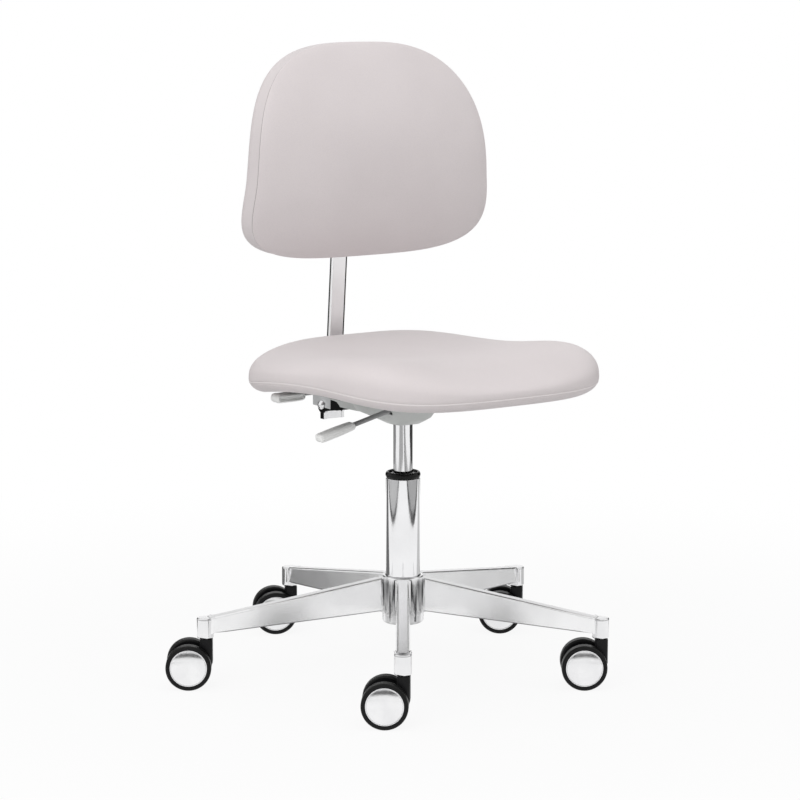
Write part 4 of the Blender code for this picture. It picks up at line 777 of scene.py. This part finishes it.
def makeMechanism(parts):
    plate = nodeShape("mechanism_plate")
    pivot = Vector(joints["back_tilt"]["pos_m"])
    start, end, foot = pivot.y - parts["lugFront"], pivot.y + parts["lugRear"], pivot.z + parts["openingFoot"]
    for spot, normal in (((0, start, 0), (0, 1, 0)), ((0, end, 0), (0, 1, 0)), ((0, 0, foot), (0, 0, 1))):
        cutAcross(plate, spot, normal)
    for face in plate.faces:   # bright lugs, and painted shade in near black where the channel opens to the rear and under the lugs
        spot = face.calc_center_median()
        if start < spot.y < end:
            face.material_index = 0 if spot.z > foot else 2 if abs(face.normal.x) > 0.9 else 1
        elif parts["openingFrom"] < spot.y <= start and abs(spot.x) < parts["openingHalf"] \
                and spot.z < pivot.z + parts["openingRise"]:
            face.material_index = 2
    piece = addPiece("mechanismPlate", plate, ["greySteel", "brightSteel", "openingShade"], "seat",
                     ["mechanism_plate"], sharp=30)
    edge = piece.modifiers.new("brokenEdges", "BEVEL")
    edge.width, edge.segments, edge.limit_method, edge.angle_limit = parts["edge"], 2, "ANGLE", math.radians(40)
    piece.modifiers.move(1, 0)
    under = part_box("mechanism_plate")[1].z - parts["plateThick"]
    near, far = parts["tailSide"]
    sweep = [(y, pivot.z + z) for y, z in parts["tailSweep"]]
    sweep += [(sweep[-1][0], under - parts["play"])] + [(y, pivot.z + z) for y, z in parts["tailRoot"]]
    tails = [(soften(cutOut(sweep, low, high), parts["tailBreak"], 2, 50), 0, None)
             for low, high in ((near, far), (-far, -near))]
    addPiece("mechanismCover", joined((nodeShape("mechanism_cover"), 0, None), *tails), ["palePlastic"], "seat",
             ["mechanism_cover"], sharp=50, even=False)
    flip = Matrix.Rotation(math.pi, 4, "X")
    screws = [(screwShape(*parts["screw"]), 0, Matrix.Translation((x, y, under)) @ flip)
              for x, y in parts["screwSpots"]]
    addPiece("plateScrews", joined(*screws), ["brightSteel"], "seat", ())


makeMechanism(mechanism)
print("mechanism placed")

# levers on the sitter's right
gripForm = {"waist": 0.78, "waistEnd": 0.55, "waistPower": 0.7, "taperFrom": 0.6, "thin": 0.90, "thinEnd": 0.4}
gasLever = {
    "slope": 13.6, "rod": 0.0035, "gripStart": 0.0765, "gripEnd": 0.1385, "halfWidth": 0.0105,
    "halfThick": 0.0061, "round": 0.0048, "inGrip": 0.040, "endTaper": 0.10, "tongueEnd": -0.0315,
    "tongueLong": 0.016, "tongueSides": (-0.026, 0.0035), "tongueHalf": 0.0025, "tongueBreak": 0.0006,
}
tiltLever = {
    "rod": 0.0035, "tail": -0.012, "gripStart": 0.0990, "gripEnd": 0.1495, "halfWidth": 0.012,
    "halfThick": 0.0065, "hang": 0.0028, "round": 0.0054, "inGrip": 0.040, "scoop": 0.0046, "lip": 0.0022,
    "scoopBreak": 0.0006, "endTaper": 0.0,
}


def rodShape(radius, start, end):
    bm = turned([(0, end), (radius, end), (radius, start), (0, start)], steps=32, spinAxis="X")
    return soften(bm, radius * 0.25, 3, 60)


def gripShape(grip):
    # moulded handle that swells from the rod to a blunt rounded end
    start, end, half, thick = grip["gripStart"], grip["gripEnd"], grip["halfWidth"], grip["halfThick"]
    waist, thin, last = gripForm["waist"], gripForm["thin"], gripForm["taperFrom"]
    bm = block((start, -half, -thick), (end, half, thick))
    along = [edge for edge in bm.edges if abs(edge.verts[0].co.x - edge.verts[1].co.x) > 0.01]
    bmesh.ops.subdivide_edges(bm, edges=along, cuts=5, use_grid_fill=True)
    for vert in bm.verts:
        share = max(0.0, (vert.co.x - start) / (end - start))
        swell = waist + (1 - waist) * min(1.0, share / gripForm["waistEnd"]) ** gripForm["waistPower"]
        vert.co.y *= swell - grip["endTaper"] * max(0.0, share - last) / (1 - last)
        vert.co.z *= thin + (1 - thin) * min(1.0, share / gripForm["thinEnd"])
    return soften(bm, grip["round"], 6, 45)


def makeGasLever(lever):
    pivot = joints["gas_lever_lift"]["pos_m"]
    stand = Matrix.Translation(pivot) @ Euler((0, math.radians(lever["slope"]), math.pi)).to_matrix().to_4x4()
    end, half, (rear, front) = lever["tongueEnd"], lever["tongueHalf"], lever["tongueSides"]
    rod = rodShape(lever["rod"], end + lever["rod"], lever["gripStart"] + lever["inGrip"])
    tongue = soften(block((end, rear, -half), (end + lever["tongueLong"], front, half)), lever["tongueBreak"], 2)
    addPiece("gasLeverRod", joined((rod, 0, stand), (tongue, 0, stand)), ["rodCoat"], "gas_lever",
             ["gas_lever_rod"])
    addPiece("gasLeverGrip", joined((gripShape(lever), 0, stand)), ["gripPlastic"], "gas_lever",
             ["gas_lever_grip"])


def makeTiltLever(lever):
    pivot = joints["tilt_lever_turn"]["pos_m"]
    stand = Matrix.Translation(pivot) @ Matrix.Rotation(math.pi, 4, "Z")
    rod = rodShape(lever["rod"], lever["tail"], lever["gripStart"] + lever["inGrip"])
    addPiece("tiltLeverRod", joined((rod, 0, stand)), ["rodCoat"], "tilt_lever", ["tilt_lever_rod"])
    grip = gripShape(lever)
    # finger scoop in the face that looks to the front
    front = [face for face in grip.faces if face.normal.y > 0.9]
    bmesh.ops.inset_region(grip, faces=front, thickness=lever["lip"], use_even_offset=True)
    bmesh.ops.translate(grip, vec=(0, -lever["scoop"], 0), verts=list({v for f in front for v in f.verts}))
    bmesh.ops.translate(grip, vec=(0, 0, -lever["hang"]), verts=grip.verts)
    soften(grip, lever["scoopBreak"], 2, 40)
    addPiece("tiltLeverGrip", joined((grip, 0, stand)), ["gripPlastic"], "tilt_lever", ["tilt_lever_grip"])


makeGasLever(gasLever)
makeTiltLever(tiltLever)
print("levers made")

# back hinge, bar, sleeve and knob, in the frame of the leaning bar
backLean = 5.0
backStand = Matrix.Translation(joints["back_tilt"]["pos_m"]) @ Matrix.Rotation(math.radians(backLean), 4, "X")
tiltBolt = {"radius": 0.004, "headRadius": 0.0074, "headHeight": 0.0060, "headSeat": 0.0184}
backBar = {
    "half": 0.0125, "thick": 0.005, "foot": 0.004, "length": 0.430, "round": 0.0016, "darkBrim": 0.0030,
    "knuckle": 0.009, "knuckleBore": 0.0043, "knuckleBreak": 0.0006,
}
backSleeve = {
    "middle": 0.3556, "half": 0.0198, "rear": 0.0123, "height": 0.078, "wall": 0.007, "play": 0.0006,
    "corner": 0.005, "round": 0.0008, "flangeFront": -0.0442, "flangeHalf": 0.048, "flangeThick": 0.004,
    "flangeHeight": 0.070, "flangeCorner": 0.008, "flangeRound": 0.0012,
    "screw": (0.0042, 0.0030, 0.0066), "screwSpots": (0.037, 0.024), "screwSunk": 0.0002,
}
clampKnob = {
    "radius": 0.021, "height": 0.017, "back": 0.0126, "face": 0.0012, "faceRings": (0.62, 0.68, 0.88),
    "drop": 0.003, "skirt": 0.006, "neck": 0.0145, "shank": 0.004, "shankEnd": 0.0053, "round": 0.0007,
    "lobes": 7, "lobeDepth": 0.0016,
}


def makeBolt(bolt):
    seat, head = bolt["headSeat"], bolt["headRadius"]
    angles = [math.radians(angle) for angle in range(0, 91, 10)]
    half = [(head * math.sin(a), seat + bolt["headHeight"] * math.cos(a)) for a in angles]
    half.append((bolt["radius"], seat))
    shape = turned(half + [(radius, -height) for radius, height in reversed(half)], steps=40, spinAxis="X")
    spot = Matrix.Translation(joints["back_tilt"]["pos_m"])
    addPiece("tiltBolt", joined((shape, 0, spot)), ["brightSteel"], "seat", ["tilt_pivot_bolt"])


def makeBar(metal):
    half, thick, bore = metal["half"], metal["thick"], metal["knuckleBore"]
    bar = soften(block((-half, -thick, metal["foot"]), (half, thick, metal["length"])), metal["round"], 5)
    brim = half - metal["darkBrim"]
    cutAcross(bar, (brim, 0, 0), (1, 0, 0))
    cutAcross(bar, (0, 0, 0), (0, 1, 0))
    for face in bar.faces:   # painted reflection: dark lines along two of the edges
        spot = face.calc_center_median()
        if spot.x > brim and spot.y < 0 or spot.x < 1e-4 - half and spot.y > 0:
            face.material_index = 1
    knuckle = turned([(bore, half), (metal["knuckle"], half), (metal["knuckle"], -half), (bore, -half)],
                     ring=True, steps=56, spinAxis="X")
    soften(knuckle, metal["knuckleBreak"], 2, 60)
    addPiece("backBar", joined((bar, 0, backStand), (knuckle, 0, backStand)), ["barChrome", "barEdgeReflection"],
             "back_frame", ["back_bar"])


def makeSleeve(metal, barThick):
    middle, front, rear, side = metal["middle"], metal["flangeFront"], metal["rear"], metal["flangeHalf"]
    back, tall = front + metal["flangeThick"], metal["flangeHeight"] / 2
    flange = block((-side, front, middle - tall), (side, back, middle + tall))
    soften(flange, metal["flangeCorner"], 6, 60,
           lambda p: abs(abs(p.x) - side) < 1e-5 and abs(abs(p.z - middle) - tall) < 1e-5)
    soften(flange, metal["flangeRound"], 3, 50)
    sleeve = bmesh.new()
    bmesh.ops.create_grid(sleeve, x_segments=1, y_segments=1, size=0.5)
    deep, half, wall = rear - front - metal["flangeThick"] / 2, metal["half"], metal["wall"]
    bmesh.ops.scale(sleeve, vec=(2 * half, deep, 1), verts=sleeve.verts)
    inner = bmesh.ops.inset_region(sleeve, faces=list(sleeve.faces), thickness=wall, use_even_offset=True,
                                   use_boundary=True)
    hole = [face for face in sleeve.faces if face not in inner["faces"]]
    core = {vert for face in hole for vert in face.verts}
    bmesh.ops.delete(sleeve, geom=hole, context="FACES_ONLY")
    for vert in core:   # the slot takes the bar with a little play
        vert.co.y = deep / 2 - wall - (0 if vert.co.y > 0 else 2 * barThick + metal["play"])
    pushOut(sleeve, list(sleeve.faces), (0, 0, metal["height"]))
    soften(sleeve, metal["corner"], 5, 60, lambda p: abs(abs(p.x) - half) < 1e-5 and p.y > deep / 2 - 1e-5)
    soften(sleeve, metal["round"], 3, 50)
    bmesh.ops.translate(sleeve, vec=(0, rear - deep / 2, middle - metal["height"] / 2), verts=sleeve.verts)
    addPiece("backSleeve", joined((flange, 0, backStand), (sleeve, 0, backStand)), ["blackNylon"], "back_rest",
             ["back_sleeve"])
    right, up = metal["screwSpots"]
    turn = Matrix.Rotation(-math.pi / 2, 4, "X")
    spots = [Matrix.Translation((x, back - metal["screwSunk"], middle + z))
             for x in (-right, right) for z in (-up, up)]
    screws = [(screwShape(*metal["screw"]), 0, backStand @ spot @ turn) for spot in spots]
    addPiece("sleeveScrews", joined(*screws), ["brightSteel"], "back_rest", ())


def makeKnob(metal, middle):
    back, radius, shank, neck = metal["back"], metal["radius"], metal["shank"], metal["neck"]
    top = back + metal["height"]
    floor, (dish, rise, crown) = top - metal["face"], metal["faceRings"]
    knob = turned([(0, floor), (radius * dish, floor), (radius * rise, top), (radius * crown, top),
                   (radius, top - metal["drop"]), (radius, back + metal["skirt"]), (neck, back), (shank, back),
                   (shank, metal["shankEnd"]), (0, metal["shankEnd"])], steps=84)
    for vert in knob.verts:
        reach = vert.co.xy.length
        if reach > neck * 0.99:
            wave = math.cos(metal["lobes"] * math.atan2(vert.co.y, vert.co.x))
            shrink = metal["lobeDepth"] * (1 - wave) / 2 * (reach / radius) ** 2
            vert.co.xy *= (reach - shrink) / reach
    soften(knob, metal["round"], 3, 40)
    stand = backStand @ Matrix.Translation((0, 0, middle)) @ Matrix.Rotation(-math.pi / 2, 4, "X")
    addPiece("clampKnob", joined((knob, 0, stand)), ["blackNylon"], "clamp_knob", ["clamp_knob"])


makeBolt(tiltBolt)
makeBar(backBar)
makeSleeve(backSleeve, backBar["thick"])
makeKnob(clampKnob, backSleeve["middle"])
print("back bar and sleeve made")


# padded pieces: a globe of rings is laid over the pad's form, then blown up as cloth
def ringed(stations, around, square, matrix=None):
    # stations run from the middle of the face, over the edge, to the middle of the underside
    bm = bmesh.new()
    rows = len(stations) - 1
    bmesh.ops.create_uvsphere(bm, u_segments=around, v_segments=rows, radius=1.0)
    rings = [[] for station in stations]
    for vert in bm.verts:
        row = round(math.acos(max(-1.0, min(1.0, vert.co.z))) / math.pi * rows)
        angle = math.atan2(vert.co.y, vert.co.x)
        rings[row].append((angle, vert))
        reach = superRadius(angle, square(math.sin(angle)))
        vert.co = stations[row](reach * math.cos(angle), reach * math.sin(angle))
    bm.verts.index_update()
    order = [[vert.index for angle, vert in sorted(ring, key=lambda item: item[0])] for ring in rings]
    if matrix is not None:
        bmesh.ops.transform(bm, matrix=matrix, verts=bm.verts)
    bmesh.ops.recalc_face_normals(bm, faces=bm.faces)
    return bm, order


def blowUp(piece, held, puff):
    # cloth under pressure, held at the seams and the underside, lifted no further than the cap
    before = [vert.co.copy() for vert in piece.data.vertices]
    group = piece.vertex_groups.new(name="held")
    group.add(held, 1.0, "REPLACE")
    cloth = piece.modifiers.new("puff", "CLOTH")
    rules = cloth.settings
    rules.quality = 6
    rules.mass = 0.25
    rules.tension_stiffness = rules.compression_stiffness = puff["stiff"]
    rules.shear_stiffness = puff["stiff"] / 2
    rules.bending_stiffness = puff["bend"]
    rules.vertex_group_mass = "held"
    rules.use_pressure = True
    rules.uniform_pressure_force = puff["pressure"]
    rules.effector_weights.gravity = 0
    cloth.collision_settings.use_collision = False
    cloth.point_cache.frame_start, cloth.point_cache.frame_end = 1, puff["frames"]
    for number in range(1, puff["frames"] + 1):
        scene.frame_set(number)
    blown = piece.evaluated_get(bpy.context.evaluated_depsgraph_get()).to_mesh()
    after = [vert.co.copy() for vert in blown.vertices]
    piece.modifiers.remove(cloth)
    scene.frame_set(1)
    verts = piece.data.vertices
    lifts = [max(0.0, min(puff["cap"], (new - old).dot(vert.normal)))
             for vert, old, new in zip(verts, before, after)]
    pairs = [tuple(edge.vertices) for edge in piece.data.edges]
    for turn in range(puff["calm"]):   # the lift evens out along the cloth
        shares = [[lift, 1] for lift in lifts]
        for one, other in pairs:
            shares[one][0] += lifts[other]
            shares[other][0] += lifts[one]
            shares[one][1] += 1
            shares[other][1] += 1
        lifts = [total / count for total, count in shares]
        for index in held:
            lifts[index] = 0.0
    normals = [vert.normal.copy() for vert in verts]
    for vert, normal, lift in zip(verts, normals, lifts):
        vert.co += normal * lift
    piece.vertex_groups.clear()
    piece.data.update()
    print("  blown up", piece.name, "by up to %.1f mm" % (1000 * max(lifts)))


def sewn(piece, seam, under, pad):
    # blown up between the seam and the underside, then the seam pulls its ring of points into the pad
    blowUp(piece, [index for ring in under for index in ring] + list(seam), pad["puff"])
    normals = [piece.data.vertices[index].normal.copy() for index in seam]
    for index, normal in zip(seam, normals):
        piece.data.vertices[index].co -= pad["seamDepth"] * normal
    piece.data.update()


def alongSeam(piece, seam, proud):
    verts = piece.data.vertices
    return [verts[index].co + verts[index].normal * proud for index in seam]


def smoothOver(piece):
    over = piece.modifiers.new("smoothOver", "SUBSURF")
    over.levels = over.render_levels = 1


def weltAlong(name, points, radius, look, body):
    # round bead sewn into a seam
    data = bpy.data.curves.new(name, "CURVE")
    data.dimensions = "3D"
    data.bevel_depth = radius
    data.bevel_resolution = 3
    line = data.splines.new("POLY")
    line.points.add(len(points) - 1)
    for spot, point in zip(line.points, points):
        spot.co = (*point, 1)
    line.use_cyclic_u = True
    curve = bpy.data.objects.new(name + "Path", data)
    scene.collection.objects.link(curve)
    mesh = bpy.data.meshes.new_from_object(curve.evaluated_get(bpy.context.evaluated_depsgraph_get()))
    bpy.data.objects.remove(curve)
    bm = bmesh.new()
    bm.from_mesh(mesh)
    bpy.data.meshes.remove(mesh)
    bmesh.ops.recalc_face_normals(bm, faces=bm.faces)
    return addPiece(name, bm, [look], body, (), sharp=80, even=False)


seatPad = {
    "width": 0.4324, "depth": 0.4526, "middleY": -0.060, "square": 2.92, "rearFlare": 0.052, "cornerFlare": 0.121,
    "rimDrop": 0.0098, "sideLift": 0.0165, "tilt": 0.0096, "band": 0.0201, "tuck": 0.0236, "crown": 0.0521,
    "pitch": -0.0186, "hollowLong": 0.034, "hollowWide": 0.0301, "frontCorners": -0.0269, "rearRim": 0.0517,
    "allCorners": 0.0053, "roll": 2.6, "boardInset": 0.046, "boardThick": 0.010, "play": 0.0003,
    "underInset": 0.034, "underShare": 0.6, "around": 168, "topRings": 30, "topPower": 1.9,
    "seamAt": 19.0, "seamGap": 4.2, "seamDepth": 0.0016, "weltRadius": 0.0012, "weltProud": 0.55,
    "shrink": 0.0016,
    "puff": {"pressure": 4.0, "stiff": 18.0, "bend": 0.6, "frames": 20, "cap": 0.0024, "calm": 24},
}


def makeSeat(pad):
    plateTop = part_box("mechanism_plate")[1].z
    boardLow = plateTop + pad["play"]
    boardHigh = boardLow + pad["boardThick"] + pad["play"]

    def plan(u, v, z, inset=0.0):
        flare = 1 + pad["rearFlare"] * v + pad["cornerFlare"] * v * v
        x, y = (pad["width"] / 2 - inset) * u * flare, (pad["depth"] / 2 - inset) * v
        return Vector((x, pad["middleY"] + y, z))

    def rim(u, v):
        return plateTop - pad["rimDrop"] + pad["sideLift"] * u * u * (1 - v * v) - pad["tilt"] * v

    def crown(u, v):
        rise = pad["crown"] + pad["pitch"] * v + pad["hollowLong"] * v * v + pad["hollowWide"] * u * u
        rise += pad["frontCorners"] * u * u * v + pad["rearRim"] * v ** 3 + pad["allCorners"] * u * u * v * v
        return plateTop - pad["rimDrop"] + rise

    def upper(share):
        swell = (1 - share ** pad["roll"]) ** (1 / pad["roll"])

        def at(u, v):
            widest = rim(u, v) + pad["band"]
            z = widest + (crown(share * u, share * v) - widest) * swell
            return plan(share * u, share * v, z - pad["shrink"] * swell, pad["shrink"] * share)
        return at

    def lower(degrees):
        c, s = math.cos(math.radians(degrees)), math.sin(math.radians(degrees))
        inset = pad["tuck"] * (1 - c) + pad["shrink"] * c
        return lambda u, v: plan(u, v, rim(u, v) + pad["band"] * (1 - s), inset)

    def under(u, v):
        share = pad["underShare"]
        return plan(u, v, share * rim(u, v) + (1 - share) * boardLow, pad["underInset"])

    def level(inset, z, share=1.0):
        return lambda u, v: plan(share * u, share * v, z, inset * share)

    tops = [1 - (1 - row / pad["topRings"]) ** pad["topPower"] for row in range(pad["topRings"])]
    seam, gap, inset = pad["seamAt"], pad["seamGap"], pad["boardInset"]
    rolls = (0, 5, 10, seam - gap, seam, seam + gap, 30, 38, 47, 57, 68, 79, 90)
    stations = [upper(share) for share in tops] + [lower(angle) for angle in rolls]
    seamRow, firstUnder = len(tops) + rolls.index(seam), len(stations)
    stations += [under, level(inset - pad["play"], boardLow), level(inset - pad["play"], boardHigh),
                 level(inset, boardHigh, 0.6), level(inset, boardHigh, 0.0)]
    bm, rings = ringed(stations, pad["around"], lambda side: pad["square"])
    piece = addPiece("seatCushion", bm, ["upholstery"], "seat", ["seat_cushion"],
                     sharp=80, even=False)
    sewn(piece, rings[seamRow], rings[firstUnder - 2:], pad)
    points = alongSeam(piece, rings[seamRow], pad["weltRadius"] * pad["weltProud"])
    smoothOver(piece)
    weltAlong("seatWelt", points, pad["weltRadius"], "weltHide", "seat")


makeSeat(seatPad)
print("seat padded")

backPad = {
    "width": 0.401, "rise": 0.1946, "drop": 0.1166, "middle": 0.3556, "reach": 0.0877, "curve": 0.315,
    "thick": 0.041, "crown": 0.014, "squareTop": 2.85, "squareFoot": 3.48, "taper": 0.064, "waist": 0.0357,
    "around": 160, "faceRings": 26, "facePower": 2.0, "faceEdge": 0.85, "faceFlat": 3.2, "shrink": 0.0014,
    # rings over the edge, as inset and depth, from the face to the rear: channelSteps are in channels, hipSteps
    # in channels and metres, tuckSteps and rearSteps in tucks
    "channel": 0.0016, "channelSteps": ((0.4, 0.125), (0.75, 0.375), (2.0, 1.0), (0.85, 1.5), (0.7875, 2.0)),
    "sideSteps": (0.0065, 0.0105, 0.015, 0.0195), "sideInset": 0.0002, "hipSteps": ((1.0, 0.024), (1.2, 0.0285)),
    "rearTuck": 0.0096, "tuckSteps": ((1 / 3, 0.62), (0.55, 0.28), (0.8, 0.08)), "rearSteps": (1.15, 1.9),
    "rearSink": 0.0033, "boardInset": 0.034, "boardThick": 0.008, "play": 0.0003,
    "seamStep": 2, "seamDepth": 0.0002, "seamRadius": 0.0009, "seamRise": 0.0017,
    "puff": {"pressure": 4.0, "stiff": 18.0, "bend": 0.6, "frames": 20, "cap": 0.0018, "calm": 24},
}
backShell = {
    "round": 0.0022, "roundAngles": (25, 50, 72), "frontBreak": 0.0006, "frontSteps": (0.0, 0.2, 0.4, 0.6, 0.8),
    "border": ((0.0, 0.0), (1.2, 0.0), (1.6, 0.0007), (2.0, 0.0), (2.6, 0.0)),   # in rounds, and how deep
    "rearSteps": (0.9, 0.75, 0.55, 0.3, 0.0),
}


def backSquare(side):
    return backPad["squareTop"] if side >= 0 else backPad["squareFoot"]


def backRing(inset, depth, share=1.0):
    # one ring of the bent back, at a depth behind the edge of its face
    pad = backPad
    sink = pad["rearSink"] * depth / pad["thick"]

    def at(u, v):
        x = (pad["width"] / 2 - inset) * u * (1 - pad["taper"] * v + pad["waist"] * v * v) * share
        t = ((pad["rise"] if v >= 0 else pad["drop"]) - inset) * v * share - sink
        return Vector((x, depth - pad["reach"] + t * t / (2 * pad["curve"]), pad["middle"] + t))
    return at


def makeBack(pad):
    channel, thick, tuck, small = pad["channel"], pad["thick"], pad["rearTuck"], pad["shrink"]
    stations = []
    for row in range(pad["faceRings"]):
        share = 1 - (1 - row / pad["faceRings"]) ** pad["facePower"]
        swell = (1 - share ** pad["faceFlat"]) ** pad["faceEdge"]
        stations.append(backRing(small * share, (small - pad["crown"]) * swell, share))
    seamRow = len(stations) + pad["seamStep"]
    stations += [backRing(channel * inset, channel * depth) for inset, depth in pad["channelSteps"]]
    stations += [backRing(small + pad["sideInset"], depth) for depth in pad["sideSteps"]]
    stations += [backRing(channel * inset, depth) for inset, depth in pad["hipSteps"]]
    stations += [backRing(tuck * inset, thick - tuck * rest) for inset, rest in pad["tuckSteps"]]
    firstUnder = len(stations)
    pocket, floor = pad["boardInset"] - pad["play"], thick - pad["boardThick"] - pad["play"]
    stations += [backRing(tuck * inset, thick) for inset in pad["rearSteps"]] + [backRing(pocket, thick)]
    stations += [backRing(pocket, floor, share) for share in (1.0, 0.75, 0.5, 0.25, 0.0)]
    bm, rings = ringed(stations, pad["around"], backSquare, backStand)
    piece = addPiece("backCushion", bm, ["upholstery"], "back_rest", ["back_cushion"],
                     sharp=80, even=False)
    sewn(piece, rings[seamRow], rings[firstUnder:], pad)
    points = alongSeam(piece, rings[seamRow], pad["seamRise"])
    smoothOver(piece)
    weltAlong("backSeam", points, pad["seamRadius"], "seamThread", "back_rest")


def makeShell(shell, pad):
    # moulded shell let into the rear of the pad
    inset, soft, thick, small = pad["boardInset"], shell["round"], pad["thick"], shell["frontBreak"]
    front, last = thick - pad["boardThick"], inset + soft * shell["border"][-1][0]
    angles = [math.radians(angle) for angle in shell["roundAngles"]]
    stations = [backRing(inset, front, share) for share in shell["frontSteps"]]
    stations += [backRing(inset + small, front), backRing(inset, front + small), backRing(inset, thick - soft)]
    stations += [backRing(inset + soft * (1 - math.cos(a)), thick - soft * (1 - math.sin(a))) for a in angles]
    stations += [backRing(inset + soft * (1 + extra), thick - down) for extra, down in shell["border"]]
    stations += [backRing(last, thick, share) for share in shell["rearSteps"]]
    bm = ringed(stations, pad["around"], backSquare, backStand)[0]
    addPiece("backShell", bm, ["palePlastic"], "back_rest", ["back_board"], sharp=60,
             even=False)


makeBack(backPad)
makeShell(backShell, backPad)
print("back padded")

# CAD pieces that stay as they are, in their own finish
keptNodes = {"piston_rod": "brightSteel", "retaining_clip": "greySteel", "thrust_bearing": "greySteel",
             "release_button": "brightSteel", "seat_board": "underBoard"}
for number in range(1, 6):
    keptNodes["castor_%d_stem" % number] = "greySteel"
    keptNodes["castor_%d_axle" % number] = "greySteel"
for node, look in keptNodes.items():
    nodes[node].data.materials.clear()
    nodes[node].data.materials.append(finishes[look])

print("all pieces placed")
